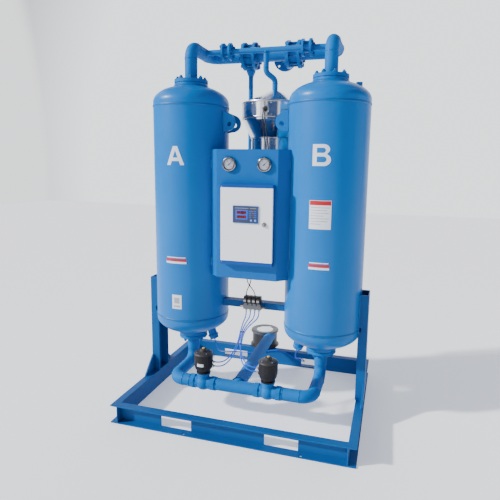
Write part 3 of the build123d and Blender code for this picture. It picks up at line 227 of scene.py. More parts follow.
CLAD = metal("bright_cladding", (0.86, 0.86, 0.87), 0.17, (1, 1, 0.06), 34.0, 0.07, 0.10)
CLAD_SEAM = metal("cladding_seam", (0.6, 0.6, 0.62), 0.3, (1, 1, 1), 90.0)
STEEL = metal("satin_steel", (0.55, 0.55, 0.57), 0.3, (1, 1, 0.1), 90.0)
ZINC = metal("zinc_plate", (0.50, 0.51, 0.52), 0.34, (1, 1, 1), 120.0, 0.12, 0.15)
CHROME = metal("bezel_chrome", (0.36, 0.355, 0.35), 0.14, (1, 1, 1), 160.0, 0.05, 0.02)
BRASS = metal("brass", (0.72, 0.50, 0.20), 0.25, (1, 1, 1), 140.0, 0.1, 0.05)
BLACK = plastic("black_moulded", (0.013, 0.012, 0.014), 0.42, 380.0, 0.16, 0.25)
BLACK_TOP = plastic("black_top", (0.040, 0.038, 0.038), 0.5, 300.0, 0.2, 0.3)
BLACK_CAN = plastic("black_can", (0.014, 0.014, 0.015), 0.38, 200.0, 0.2)
GREY_PL = plastic("grey_plastic", (0.30, 0.30, 0.31), 0.45)
RUBBER = plastic("black_rubber", (0.012, 0.012, 0.012), 0.55, 500.0, 0.2)
CABLE = plastic("black_cable", (0.010, 0.009, 0.010), 0.45, 300.0, 0.1, 0.2)
TUBE = plastic("blue_tube", (0.0, 0.110, 0.66), 0.40, 200.0, 0.02, 0.3)
YELLOW = plastic("yellow_tip", (0.75, 0.45, 0.02), 0.4)
DIAL = plastic("dial_white", (0.70, 0.72, 0.80), 0.5, 300.0, 0.02)
INK = plastic("dial_ink", (0.012, 0.012, 0.016), 0.5, 300.0, 0.02)
INK_RED = plastic("dial_red", (0.55, 0.02, 0.02), 0.5, 300.0, 0.02)
FILM = plastic("overlay_film", (0.050, 0.056, 0.105), 0.4, 260.0, 0.05, 0.25)
FILM_EDGE = plastic("overlay_edge", (0.004, 0.075, 0.34), 0.4, 260.0, 0.05, 0.25)
FILM_BRIGHT = plastic("overlay_bright", (0.0, 0.145, 0.74), 0.4, 260.0, 0.05, 0.25)
WINDOW = plastic("display_window", (0.050, 0.003, 0.004), 0.16, 300.0, 0.0, 0.3)
SEGMENT = glow("display_segment", (0.7, 0.02, 0.015), 0.32)
LED = glow("led_green", (0.1, 0.65, 0.25), 0.3)
BTN = plastic("button_blue", (0.10, 0.42, 0.90), 0.35)
BEADS = plastic("desiccant_beads", (0.75, 0.74, 0.70), 0.7, 120.0, 0.8)
TIE = plastic("tie_black", (0.012, 0.012, 0.013), 0.4)

mt, nt, p = new_mat("clear_glass")
p.inputs["Base Color"].default_value = (0.95, 0.97, 1.0, 1)
p.inputs["Transmission Weight"].default_value = 1.0
p.inputs["IOR"].default_value = 1.1
p.inputs["Roughness"].default_value = 0.02
GLASS = mt


def mesh_mat(name, base, hole_shade, pitch):
    """Perforated sheet: rows of round holes, each painted near-black as painted shade inside the hole, in the drum's
    own coordinates.
    """
    mt, nt, p = new_mat(name)
    tc = nt.nodes.new("ShaderNodeTexCoord")
    vor = nt.nodes.new("ShaderNodeTexVoronoi")
    vor.inputs["Scale"].default_value = 1.0 / pitch
    vor.inputs["Randomness"].default_value = 0.0
    nt.links.new(tc.outputs["UV"], vor.inputs["Vector"])
    hole_fac = ramp(nt, vor.outputs["Distance"], [(0.30, 0.0), (0.34, 1.0)])
    # the hole colour is painted shade: the inside of each hole is shown near-black, not cut through the sheet
    nt.links.new(mix_rgb(nt, hole_fac, hole_shade, base), p.inputs["Base Color"])
    p.inputs["Roughness"].default_value = 0.4
    p.inputs["Metallic"].default_value = 0.3
    bump(nt, p, [(hole_fac, 0.6, 0.002)])
    return mt


# the second colour is the painted shade inside the holes
PERF = mesh_mat("perforated_black", (0.05, 0.048, 0.046), (0.002, 0.002, 0.002), 0.0105)


# ---------------------------------------------------------------- mesh helpers
def finish_mesh(name, bm, mats, body, angle=35.0, bevel=0.0, segments=2):
    me = bpy.data.meshes.new(name)
    bmesh.ops.recalc_face_normals(bm, faces=bm.faces)
    bm.to_mesh(me)
    bm.free()
    mats = mats if isinstance(mats, (list, tuple)) else [mats]
    for mm in mats:
        me.materials.append(mm)
    me.shade_smooth()
    me.set_sharp_from_angle(angle=math.radians(angle))
    ob = bpy.data.objects.new(name, me)
    bpy.context.scene.collection.objects.link(ob)
    if bevel:
        md = ob.modifiers.new("edge", "BEVEL")
        md.width = bevel
        md.segments = segments
        md.limit_method = "ANGLE"
        md.angle_limit = math.radians(40)
        md.harden_normals = True
    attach(ob, body)
    return ob


def frame_of(origin, direction, up=None):
    z = Vector(direction).normalized()
    x = Vector(up) if up else (Vector((1, 0, 0)) if abs(z.x) < 0.9 else Vector((0, 0, 1)))
    x = (x - z * x.dot(z)).normalized()
    y = z.cross(x)
    mm = Matrix.Identity(4)
    for i in range(3):
        mm[i][0], mm[i][1], mm[i][2] = x[i], y[i], z[i]
    mm.translation = Vector(origin)
    return mm


def add_lathe(bm, mat4, profile, segs=64, mat_index=0, closed=True, wobble=None, uv=None):
    """Revolve (r, z) about the local z axis. closed joins the last point to the first."""
    rings = []
    for r, z in profile:
        if r < 1e-6:
            rings.append([bm.verts.new(mat4 @ Vector((0, 0, z)))])
            continue
        ring = []
        for k in range(segs):
            a = 2 * math.pi * k / segs
            rr, zz = (r, z) if wobble is None else wobble(r, z, a)
            ring.append(bm.verts.new(mat4 @ Vector((rr * math.cos(a), rr * math.sin(a), zz))))
        rings.append(ring)
    pairs = list(zip(rings, rings[1:])) + ([(rings[-1], rings[0])] if closed else [])
    for a, b in pairs:
        if len(a) == 1 and len(b) == 1:
            continue
        for k in range(segs):
            k2 = (k + 1) % segs
            if len(a) == 1:
                f = bm.faces.new((a[0], b[k2], b[k]))
            elif len(b) == 1:
                f = bm.faces.new((a[k], a[k2], b[0]))
            else:
                f = bm.faces.new((a[k], a[k2], b[k2], b[k]))
            f.material_index = mat_index
    return rings


def lathe(name, origin, direction, profile, mats, body, segs=64, closed=False, bevel=0.0, angle=35.0, wobble=None):
    bm = bmesh.new()
    add_lathe(bm, frame_of(origin, direction), profile, segs, closed=closed, wobble=wobble)
    return finish_mesh(name, bm, mats, body, angle, bevel)


def add_box(bm, x0, x1, y0, y1, z0, z1, mat_index=0, mat4=None):
    vs = []
    for x in (x0, x1):
        for y in (y0, y1):
            for z in (z0, z1):
                v = Vector((x, y, z))
                vs.append(bm.verts.new(mat4 @ v if mat4 else v))
    for f in ((0, 1, 3, 2), (4, 6, 7, 5), (0, 4, 5, 1), (2, 3, 7, 6), (0, 2, 6, 4), (1, 5, 7, 3)):
        fc = bm.faces.new([vs[i] for i in f])
        fc.material_index = mat_index


def add_prism(bm, mat4, pts, h, mat_index=0):
    lo = [bm.verts.new(mat4 @ Vector((x, y, 0))) for x, y in pts]
    hi = [bm.verts.new(mat4 @ Vector((x, y, h))) for x, y in pts]
    n = len(pts)
    for f in [list(reversed(lo)), hi] + [[lo[i], lo[(i + 1) % n], hi[(i + 1) % n], hi[i]] for i in range(n)]:
        bm.faces.new(f).material_index = mat_index


def add_hex(bm, mat4, af, h, mat_index=0, turn=0.0):
    r = af / math.sqrt(3)
    add_prism(bm, mat4, [(r * math.cos(math.radians(60 * k) + turn), r * math.sin(math.radians(60 * k) + turn)) for k in range(6)], h, mat_index)


def soften(nodename, width, mats, body, segments=2, angle=30.0, keep_angle=0.6):
    """A copy of a frame piece with its faces merged, its edges rounded and its curves smooth."""
    src = NODES[nodename]
    bm = bmesh.new()
    bm.from_mesh(src.data)
    bmesh.ops.remove_doubles(bm, verts=bm.verts, dist=2e-6)
    bmesh.ops.dissolve_limit(bm, angle_limit=math.radians(keep_angle), verts=bm.verts, edges=bm.edges)
    me = bpy.data.meshes.new(nodename + "_detail")
    bm.to_mesh(me)
    bm.free()
    me.materials.clear()
    for mm in (mats if isinstance(mats, (list, tuple)) else [mats]):
        me.materials.append(mm)
    me.shade_smooth()
    me.set_sharp_from_angle(angle=math.radians(angle))
    ob = bpy.data.objects.new(nodename + "_detail", me)
    bpy.context.scene.collection.objects.link(ob)
    if width:
        md = ob.modifiers.new("edge", "BEVEL")
        md.width = width
        md.segments = segments
        md.limit_method = "ANGLE"
        md.angle_limit = math.radians(angle)
        md.harden_normals = True
        md.use_clamp_overlap = True
    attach(ob, body)
    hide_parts(nodename)
    return ob


def paint(nodename, *mats):
    ob = NODES[nodename]
    ob.data.materials.clear()
    for mm in mats:
        ob.data.materials.append(mm)
    for poly in ob.data.polygons:
        poly.material_index = 0


# every frame piece first gets its own finish
for n in NODES:
    paint(n, BLUE)
for n in ("skid_front_rail", "skid_rear_rail", "skid_left_rail", "skid_right_rail", "left_post", "right_post", "post_gussets", "cross_beam"):
    paint(n, BLUE_DARK)
for n in ("heater_vessel", "heater_element", "bed_screens", "outlet_check_disc_a", "outlet_check_disc_b"):
    paint(n, STEEL)
for n in ("valve_stem_a", "valve_stem_b"):
    paint(n, YELLOW)
for n in ("flange_studs", "vessel_flange_bolts"):
    paint(n, BLUE_BEAD)
paint("flange_gaskets", RUBBER)
for n in ("desiccant_bed_a", "desiccant_bed_b"):
    paint(n, BEADS)
for n in ("valve_actuator_a", "valve_actuator_b", "solenoid_bank"):
    paint(n, BLACK)
paint("heater_jacket", CLAD)
paint("exhaust_silencer", BLACK_CAN)
paint("cabinet_housing", PANEL)
paint("enclosure_box", BOXBLUE)
paint("enclosure_door", WHITE)
paint("door_lock", CHROME)
paint("controller", FILM_EDGE)
for n in ("button_up", "button_down"):
    paint(n, BTN)
for n in ("gauge_a", "gauge_b"):
    paint(n, CHROME)
for n in ("gauge_needle_a", "gauge_needle_b"):
    paint(n, INK)
for n in ("air_tubes_a", "air_tubes_b", "rail_tube"):
    paint(n, TUBE)
BLUE_PIPE = enamel("blue_enamel_pipe", (0.0, 0.160, 0.49), (0.0, 0.138, 0.43), rough=0.58, peel=0.03, coat=0.0, wear=False, spec=0.12)
for n in ("exhaust_manifold", "lower_spool_a", "lower_spool_b", "valve_body_a", "valve_body_b", "outlet_spool_a", "outlet_spool_b"):
    paint(n, BLUE_PIPE)
for n in ("coil_wires", "heater_leads"):
    paint(n, CABLE)



# ---------------------------------------------------------------- welds
def bead_ring(name, origin, direction, r, width=0.012, height=0.0028, body="frame", mat=None):
    """A hand-laid weld bead round a pipe or a shell: rippled, a little uneven."""
    n = max(48, int(2 * math.pi * r / 0.0032))
    n = min(n, 520)
    prof = [(-0.5, -0.0012), (-0.36, 0.55), (-0.15, 0.95), (0.0, 1.0), (0.15, 0.95), (0.36, 0.55), (0.5, -0.0012)]
    mm = frame_of(origin, direction)
    bm = bmesh.new()
    seed = sum(ord(c) for c in name) % 97
    rings = []
    for k in range(n):
        a = 2 * math.pi * k / n
        rip = 0.82 + 0.22 * math.sin(k * 2 * math.pi / 3.0) + 0.25 * noise.noise(Vector((math.cos(a) * 9, math.sin(a) * 9, seed)))
        wid = width * (1 + 0.12 * noise.noise(Vector((math.cos(a) * 6, math.sin(a) * 6, seed + 5))))
        off = 0.06 * width * noise.noise(Vector((math.cos(a) * 3, math.sin(a) * 3, seed + 9)))
        ring = []
        for u, h in prof:
            hh = height * h * rip if h > 0 else -0.001
            ring.append(bm.verts.new(mm @ Vector(((r + hh) * math.cos(a), (r + hh) * math.sin(a), u * wid + off))))
        rings.append(ring)
    for k in range(n):
        A, B = rings[k], rings[(k + 1) % n]
        for j in range(len(prof) - 1):
            bm.faces.new((A[j], A[j + 1], B[j + 1], B[j]))
    return finish_mesh(name, bm, mat or BLUE_BEAD, body, 60)


def fillet_ring(name, origin, direction, r, leg=0.007, body="frame", mat=None):
    """A fillet weld where a pipe or pad meets a flat face."""
    n = min(420, max(40, int(2 * math.pi * r / 0.0035)))
    mm = frame_of(origin, direction)
    bm = bmesh.new()
    seed = sum(ord(c) for c in name) % 89
    rings = []
    for k in range(n):
        a = 2 * math.pi * k / n
        s = leg * (0.92 + 0.10 * math.sin(k * 2 * math.pi / 3.0) + 0.2 * noise.noise(Vector((math.cos(a) * 8, math.sin(a) * 8, seed))))
        pts = [(-0.001, -0.001), (s, -0.0008), (0.8 * s, 0.35 * s), (0.38 * s, 0.78 * s), (-0.0008, s)]
        rings.append([bm.verts.new(mm @ Vector(((r + x) * math.cos(a), (r + x) * math.sin(a), z))) for x, z in pts])
    for k in range(n):
        A, B = rings[k], rings[(k + 1) % n]
        for j in range(1, 4):
            bm.faces.new((A[j], A[j + 1], B[j + 1], B[j]))
    return finish_mesh(name, bm, mat or BLUE_BEAD, body, 60)


def bead_line(name, p0, p1, normal, width=0.009, height=0.004, body="frame", mat=None):
    p0, p1 = Vector(p0), Vector(p1)
    d = (p1 - p0)
    L = d.length
    d.normalize()
    nrm = Vector(normal).normalized()
    side = d.cross(nrm).normalized()
    n = max(8, int(L / 0.003))
    seed = sum(ord(c) for c in name) % 83
    bm = bmesh.new()
    rings = []
    for k in range(n + 1):
        t = k / n
        end = min(1.0, 6 * min(t, 1 - t) + 0.15)
        rip = (0.84 + 0.2 * math.sin(k * 2 * math.pi / 3.0) + 0.25 * noise.noise(Vector((t * L * 60, seed, 0)))) * end
        ring = []
        for u, h in ((-0.5, -0.2), (-0.35, 0.5), (0, 1.0), (0.35, 0.5), (0.5, -0.2)):
            ring.append(bm.verts.new(p0 + d * (L * t) + side * (u * width) + nrm * (height * h * rip)))
        rings.append(ring)
    for k in range(n):
        for j in range(4):
            bm.faces.new((rings[k][j], rings[k][j + 1], rings[k + 1][j + 1], rings[k + 1][j]))
    return finish_mesh(name, bm, mat or BLUE_BEAD, body, 60)


for tag, sx in (("a", -1), ("b", 1)):
    x = sx * TX
    bead_ring("seam_top_" + tag, (x, TY, 2.010), (0, 0, 1), TR, 0.017, 0.0030)
    bead_ring("seam_bottom_" + tag, (x, TY, 0.592), (0, 0, 1), TR, 0.017, 0.0030)
    fillet_ring("pad_weld_top_" + tag, (x, TY, 2.1425), (0, 0, 1), 0.112, 0.010)
    fillet_ring("pad_weld_bottom_" + tag, (x, TY, 0.4590), (0, 0, -1), 0.100, 0.010)
    fillet_ring("riser_weld_" + tag, (x, TY, 2.190), (0, 0, 1), 0.042, 0.008)
    bead_ring("riser_seam_" + tag, (x, TY, 2.330), (0, 0, 1), 0.042, 0.009, 0.0022)
    bead_ring("elbow_seam1_" + tag, (x, TY + 0.076, HDR_Z), (0, 1, 0), 0.042, 0.009, 0.0022)
    bead_ring("elbow_seam2_" + tag, (x, HDR_Y - 0.076, HDR_Z), (0, 1, 0), 0.042, 0.009, 0.0022)
    bead_ring("elbow_seam3_" + tag, (sx * (TX - 0.076), HDR_Y, HDR_Z), (1, 0, 0), 0.042, 0.009, 0.0022)
    fillet_ring("flange_weld_" + tag, (sx * 0.210, HDR_Y, HDR_Z), (sx, 0, 0), 0.042, 0.008)
    fillet_ring("tee_weld_" + tag, (sx * 0.112, HDR_Y, HDR_Z), (-sx, 0, 0), 0.042, 0.008)
    fillet_ring("stub_weld_" + tag, (sx * 0.313, PRG_Y, HDR_Z), (sx, 0, 0), 0.019, 0.006)
    fillet_ring("stub_root_" + tag, (sx * (TX - 0.0405), PRG_Y, HDR_Z), (-sx, 0, 0), 0.019, 0.006)
    fillet_ring("purge_flange_weld_" + tag, (sx * 0.247, PRG_Y, HDR_Z), (-sx, 0, 0), 0.019, 0.006)
    fillet_ring("neck_weld_" + tag, (x, TY, 0.401), (0, 0, -1), 0.043, 0.008)
    bead_ring("neck_seam_" + tag, (x, TY, 0.309), (0, 0, 1), 0.0405, 0.009, 0.0028)
    bead_ring("low_seam1_" + tag, (x, TY - 0.076, LOW_Z), (0, 1, 0), 0.040, 0.009, 0.0022)
    bead_ring("low_seam2_" + tag, (x, LOW_Y + 0.076, LOW_Z), (0, 1, 0), 0.040, 0.009, 0.0022)
    bead_ring("low_seam3_" + tag, (sx * (TX - 0.076), LOW_Y, LOW_Z), (1, 0, 0), 0.040, 0.009, 0.0022)
    bead_ring("union_seam_" + tag, (sx * 0.345 if sx < 0 else 0.284, LOW_Y, LOW_Z), (1, 0, 0), 0.040, 0.010, 0.0024)
    fillet_ring("inlet_weld_" + tag, (x, TY + 0.326, 0.655), (0, -1, 0), 0.030, 0.007)
    bead_ring("inlet_root_" + tag, (x, TY + 0.2535, 0.655), (0, 1, 0), 0.0305, 0.014, 0.004)
    # lug welds down both sides of each plate
    for i, dy in enumerate((-0.055, 0.055 if sx < 0 else 0.030)):
        xs = TX - math.sqrt(TR * TR - dy * dy)
        for j, off in enumerate((-0.0075, 0.0075)):
            bead_line("lug_weld_%s%d%d" % (tag, i, j), (sx * xs, TY + dy + off, 1.850), (sx * xs, TY + dy + off, 1.982), (-sx, 0, 0), 0.010, 0.005)
    # post feet and gussets
    px = sx * 0.771
    bead_line("post_foot_weld_" + tag, (px - sx * 0.055, TY - 0.0705, 0.1205), (px, TY - 0.0705, 0.1205), (0, -0.7, 0.7), 0.009, 0.004)
    bead_line("post_foot_weld2_" + tag, (px - sx * 0.055, TY + 0.0705, 0.1205), (px, TY + 0.0705, 0.1205), (0, 0.7, 0.7), 0.009, 0.004)
    for j, sy in enumerate((-1, 1)):
        bead_line("gusset_weld_%s%d" % (tag, j), (px - sx * 0.0125, TY + sy * 0.185, 0.1205), (px - sx * 0.0125, TY + sy * 0.071, 0.1205),
                  (-sx, 0, 1), 0.008, 0.004)
        bead_line("post_tower_weld_%s%d" % (tag, j), (sx * 0.7145, TY + sy * 0.0712, 0.570), (sx * 0.7145, TY + sy * 0.0712, 0.829), (0, sy, 0), 0.010, 0.005)
    # skid corners
    for j, yy in enumerate((Y0 + 0.052, Y0 + 1.221 - 0.052)):
        bead_line("corner_weld_%s%d" % (tag, j), (sx * 0.7186, yy + (-0.0005 if j == 0 else 0.0005), 0.012), (sx * 0.7186, yy + (-0.0005 if j == 0 else 0.0005), 0.110),
                  (-sx, -1 if j == 0 else 1, 0), 0.008, 0.003)
fillet_ring("branch_weld", (-0.0212, LOW_Y + 0.0385, LOW_Z), (-0.0286, 1, 0), 0.043, 0.008)
fillet_ring("outlet_branch_weld", (0.059, HDR_Y + 0.0405, HDR_Z), (0, 1, 0), 0.0302, 0.008)
fillet_ring("outlet_flange_weld", (0.059, Y0 + 1.091, HDR_Z), (0, -1, 0), 0.0302, 0.007)
fillet_ring("drop_weld", (0, PRG_Y, HDR_Z - 0.0182), (0, 0, -1), 0.019, 0.006)
bead_ring("drop_seam1", (0, PRG_Y, 2.290), (0, 0, 1), 0.019, 0.007, 0.0016)
bead_ring("drop_seam2", (HX, HY, 2.196), (0, 0, 1), 0.019, 0.007, 0.0016)
bead_ring("feed_seam1", (-0.194, Y0 + 1.070, 2.352), (0, 0, 1), 0.0338, 0.008, 0.002)
bead_ring("feed_seam2", (-0.194, Y0 + 1.070, 2.284), (0, 0, 1), 0.017, 0.007, 0.0016)
bead_ring("feed_seam3", (-0.194, Y0 + 1.070, 1.003), (0, 0, 1), 0.017, 0.007, 0.0016)

# ---------------------------------------------------------------- marks on the towers
def wrapped(name, cx, polys, width, height, z0, mats, body="frame", lift=0.0007, holes=(), centre=0.0, mat_of=None, step=0.004):
    """Flat outlines in a unit box, wrapped round a tower as thin raised film."""
    cu = bpy.data.curves.new(name + "_outline", "CURVE")
    cu.dimensions = "2D"
    cu.fill_mode = "BOTH"
    for poly in list(polys) + list(holes):
        sp = cu.splines.new("POLY")
        sp.points.add(len(poly) - 1)
        for i, (px, py) in enumerate(poly):
            sp.points[i].co = (px * width, py * height, 0, 1)
        sp.use_cyclic_u = True
    ob = bpy.data.objects.new(name + "_tmp", cu)
    me = bpy.data.meshes.new_from_object(ob)
    bm = bmesh.new()
    bm.from_mesh(me)
    bpy.data.objects.remove(ob)
    bpy.data.meshes.remove(me)
    bmesh.ops.remove_doubles(bm, verts=bm.verts, dist=1e-6)
    k = step
    while k < width:
        bmesh.ops.bisect_plane(bm, geom=bm.verts[:] + bm.edges[:] + bm.faces[:], plane_co=(k, 0, 0), plane_no=(1, 0, 0))
        k += step
    for f in bm.faces:
        if f.normal.z < 0:
            f.normal_flip()
    ext = bmesh.ops.extrude_face_region(bm, geom=bm.faces[:])
    for v in ext["geom"]:
        if isinstance(v, bmesh.types.BMVert):
            v.co.z = lift
    for v in bm.verts:
        a = (v.co.x - width / 2) / TR + math.radians(centre)
        r = TR + (v.co.z if v.co.z > 0 else -0.0002)
        v.co = Vector((cx + r * math.sin(a), TY - r * math.cos(a), z0 + v.co.y))
    return finish_mesh(name, bm, mats, body, 40)


def arc(cx, cy, rx, ry, a0, a1, n=16):
    return [(cx + rx * math.cos(math.radians(a0 + (a1 - a0) * i / n)), cy + ry * math.sin(math.radians(a0 + (a1 - a0) * i / n))) for i in range(n + 1)]


A_OUT = [(0, 0), (0.215, 0), (0.292, 0.215), (0.708, 0.215), (0.785, 0), (1, 0), (0.622, 1), (0.378, 1)]
A_HOLE = [(0.357, 0.392), (0.643, 0.392), (0.5, 0.79)]
B_OUT = [(0, 0)] + arc(0.60, 0.282, 0.37, 0.282, -90, 62) + arc(0.57, 0.765, 0.335, 0.235, -52, 90) + [(0, 1)]
B_HOLE1 = [(0.225, 0.165)] + arc(0.58, 0.30, 0.165, 0.135, -90, 90) + [(0.225, 0.435)]
B_HOLE2 = [(0.225, 0.60)] + arc(0.55, 0.718, 0.145, 0.118, -90, 90) + [(0.225, 0.836)]
wrapped("letter_a", -TX, [A_OUT], 0.120, 0.119, 1.628, MARK, holes=[A_HOLE])
wrapped("letter_b", TX, [B_OUT], 0.112, 0.125, 1.635, MARK, holes=[B_HOLE1, B_HOLE2])


def rect(x0, y0, x1, y1):
    return [(x0, y0), (x1, y0), (x1, y1), (x0, y1)]


# a plain plate on the right-hand tower: a red band over grey rules, no lettering
wrapped("plate_b", TX, [rect(0, 0, 1, 1)], 0.133, 0.172, 1.262, MARK, centre=0.0)
wrapped("plate_b_band", TX, [rect(0.02, 0.835, 0.98, 0.985)], 0.133, 0.172, 1.262, MARK_RED, lift=0.0010)
rows = []
for i in range(7):
    y = 0.74 - 0.095 * i
    rows.append(rect(0.08, y, (0.92, 0.80, 0.88, 0.66, 0.9, 0.84, 0.55)[i], y + 0.022))
wrapped("plate_b_rules", TX, rows, 0.133, 0.172, 1.262, MARK_GREY, lift=0.0010)
# plain two-colour bars low on each tower
for tag, sx in (("a", -1), ("b", 1)):
    z0 = 1.015 if sx > 0 else 0.985
    bw, bc = (0.128, 0.5) if sx > 0 else (0.148, -1.6)
    wrapped("bar_red_" + tag, sx * TX, [rect(0, 0.22, 1, 0.42)], bw, 0.075, z0, MARK_RED, centre=bc)
    wrapped("bar_pale_" + tag, sx * TX, [rect(0, 0.0, 1, 0.18)], bw, 0.075, z0, MARK, centre=bc)
    wrapped("bar_top_" + tag, sx * TX, [rect(0.04, 0.50, 0.96, 0.58)], bw, 0.075, z0, MARK, centre=bc)
wrapped("plate_a", -TX, [rect(0, 0, 1, 1)], 0.068, 0.097, 0.674, MARK, centre=-0.8)
wrapped("plate_a_field", -TX, [rect(0.22, 0.40, 0.78, 0.80), rect(0.16, 0.14, 0.84, 0.24)], 0.068, 0.097, 0.674, MARK_GREY, lift=0.0010, centre=-0.8)

# ---------------------------------------------------------------- rounded sheet and section pieces
soften("skid_front_rail", 0.0018, BLUE_DARK, "frame")
soften("skid_rear_rail", 0.0018, BLUE_DARK, "frame")
soften("skid_left_rail", 0.0018, BLUE_DARK, "frame")
soften("skid_right_rail", 0.0018, BLUE_DARK, "frame")
soften("post_gussets", 0.0012, BLUE_DARK, "frame")
soften("cabinet_housing", 0.0014, PANEL, "frame")
soften("enclosure_box", 0.0009, BOXBLUE, "frame")
soften("enclosure_door", 0.0022, WHITE, "door", segments=3)
soften("controller", 0.0012, FILM_EDGE, "door")
soften("door_lock", 0.0006, CHROME, "lock")

# ---------------------------------------------------------------- gauges
def gauge(tag, gx, gz):
    out = (0, -1, 0)
    o = (gx, CAB_Y, gz)
    lathe("gauge_bezel_" + tag, o, out, [(0.0477, -0.001), (0.0477, 0.0050), (0.0468, 0.0085), (0.0447, 0.0128), (0.0420, 0.0156), (0.0392, 0.0164),
                                        (0.0368, 0.0158), (0.0352, 0.0138), (0.0346, 0.0075)], CHROME, "frame", 96)
    lathe("gauge_ring_" + tag, o, out, [(0.0346, 0.0130), (0.0332, 0.0128), (0.0322, 0.0110), (0.0320, 0.0074)], INK, "frame", 96)
    lathe("gauge_dial_" + tag, o, out, [(0.0346, 0.0071), (0.0346, 0.0074), (0.0, 0.0074)], DIAL, "frame", 72, angle=80)
    bm = bmesh.new()
    for i in range(51):
        a = math.radians(225 - 270 * i / 50)
        big = i % 10 == 0
        mid = i % 5 == 0
        r0 = 0.0238 if big else (0.0252 if mid else 0.0266)
        r1 = 0.0288
        w = 0.00055 if big else 0.00028
        c, s = math.cos(a), math.sin(a)
        q = []
        for rr, ww in ((r0, -w), (r1, -w), (r1, w), (r0, w)):
            q.append(bm.verts.new(Vector((gx + rr * c - ww * s, CAB_Y - 0.00762, gz + rr * s + ww * c))))
        bm.faces.new(q)
    finish_mesh("gauge_ticks_" + tag, bm, INK, "frame")
    bm = bmesh.new()
    n = 20
    vs = []
    for i in range(n + 1):
        a = math.radians(225 - 270 * (0.78 + 0.22 * i / n))
        c, s = math.cos(a), math.sin(a)
        vs.append([bm.verts.new(Vector((gx + rr * c, CAB_Y - 0.00758, gz + rr * s))) for rr in (0.0290, 0.0306)])
    for i in range(n):
        bm.faces.new((vs[i][0], vs[i][1], vs[i + 1][1], vs[i + 1][0]))
    finish_mesh("gauge_red_" + tag, bm, INK_RED, "frame")
    for i in range(6):
        a = math.radians(225 - 270 * i / 5)
        cu = bpy.data.curves.new("gauge_number_%s%d" % (tag, i), "FONT")
        cu.body = str(i * 4)
        cu.size = 0.0066
        cu.extrude = 0.00008
        cu.align_x = "CENTER"
        cu.align_y = "CENTER"
        ob = bpy.data.objects.new("gauge_number_%s%d" % (tag, i), cu)
        ob.data.materials.append(INK)
        bpy.context.scene.collection.objects.link(ob)
        ob.matrix_world = Matrix.Translation((gx + 0.0196 * math.cos(a), CAB_Y - 0.0077, gz + 0.0196 * math.sin(a))) @ Matrix.Rotation(math.radians(90), 4, "X")
        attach(ob, "frame")
    lathe("gauge_glass_" + tag, o, out, [(0.0350, 0.0120), (0.0350, 0.0132), (0.0, 0.0134)], GLASS, "frame", 72, angle=80)


for tag, (gx, gz) in GAUGES.items():
    gauge(tag, gx, gz)

# ---------------------------------------------------------------- controller face
YF = DOOR_Y - 0.007


def plate(name, x0, x1, z0, z1, y, t, mat, body="door", bevel=0.0004):
    bm = bmesh.new()
    add_box(bm, x0, x1, y - t, y + 0.0003, z0, z1)
    return finish_mesh(name, bm, mat, body, bevel=bevel)


plate("overlay", -0.0685, 0.0865, 1.2835, 1.3815, YF, 0.0005, FILM)
plate("overlay_frame", -0.0540, 0.0245, 1.3015, 1.3610, YF - 0.0004, 0.0005, FILM_BRIGHT)
for i, (z0, z1) in enumerate(((1.3355, 1.3545), (1.3085, 1.3275))):
    plate("display_window_%d" % i, -0.0465, 0.0150, z0, z1, YF - 0.0008, 0.0006, WINDOW, bevel=0.0002)
    # four seven-segment digits
    bm = bmesh.new()
    for d in range(4):
        cx = -0.0375 + d * 0.0147
        cz = (z0 + z1) / 2
        w, h, t = 0.0070, 0.0115, 0.0013
        seg = {"a": (cx - w / 2, cx + w / 2, cz + h / 2 - t / 2, cz + h / 2 + t / 2), "g": (cx - w / 2, cx + w / 2, cz - t / 2, cz + t / 2),
               "d": (cx - w / 2, cx + w / 2, cz - h / 2 - t / 2, cz - h / 2 + t / 2),
               "f": (cx - w / 2 - t / 2, cx - w / 2 + t / 2, cz + t, cz + h / 2 - t * 0.8), "b": (cx + w / 2 - t / 2, cx + w / 2 + t / 2, cz + t, cz + h / 2 - t * 0.8),
               "e": (cx - w / 2 - t / 2, cx - w / 2 + t / 2, cz - h / 2 + t * 0.8, cz - t), "c": (cx + w / 2 - t / 2, cx + w / 2 + t / 2, cz - h / 2 + t * 0.8, cz - t)}
        for key in ("abcdef", "abcdef", "abdeg" if i else "bc", "abcdef")[d]:
            x0, x1, q0, q1 = seg[key]
            add_box(bm, x0, x1, YF - 0.00155, YF - 0.0013, q0, q1)
    finish_mesh("display_digits_%d" % i, bm, SEGMENT, "door")
for i, (bx0, bx1, bz0, bz1, mt) in enumerate((
        (0.033, 0.047, 1.352, 1.357, FILM_BRIGHT), (0.033, 0.047, 1.340, 1.345, FILM_BRIGHT), (0.033, 0.047, 1.328, 1.333, FILM_BRIGHT),
        (0.033, 0.047, 1.316, 1.321, FILM_BRIGHT), (0.066, 0.080, 1.352, 1.357, FILM_BRIGHT), (0.066, 0.080, 1.340, 1.345, FILM_BRIGHT),
        (0.066, 0.080, 1.328, 1.333, FILM_BRIGHT), (0.066, 0.080, 1.316, 1.321, FILM_BRIGHT),
        (-0.058, 0.030, 1.3700, 1.3730, GREY_PL), (0.040, 0.080, 1.3700, 1.3730, GREY_PL))):
    plate("overlay_bar_%d" % i, bx0, bx1, bz0, bz1, YF - 0.0004, 0.0004, mt, bevel=0.0001)
for i, (lx, lz) in enumerate([(0.0535, 1.3545 - 0.012 * k) for k in range(4)] + [(0.0605, 1.3545 - 0.012 * k) for k in range(4)]):
    lathe("overlay_lamp_%d" % i, (lx, YF - 0.0004, lz), (0, -1, 0), [(0.0018, 0), (0.0018, 0.0006), (0.001, 0.0011), (0, 0.0012)],
          LED if i in (0, 5) else INK_RED, "door", 16)
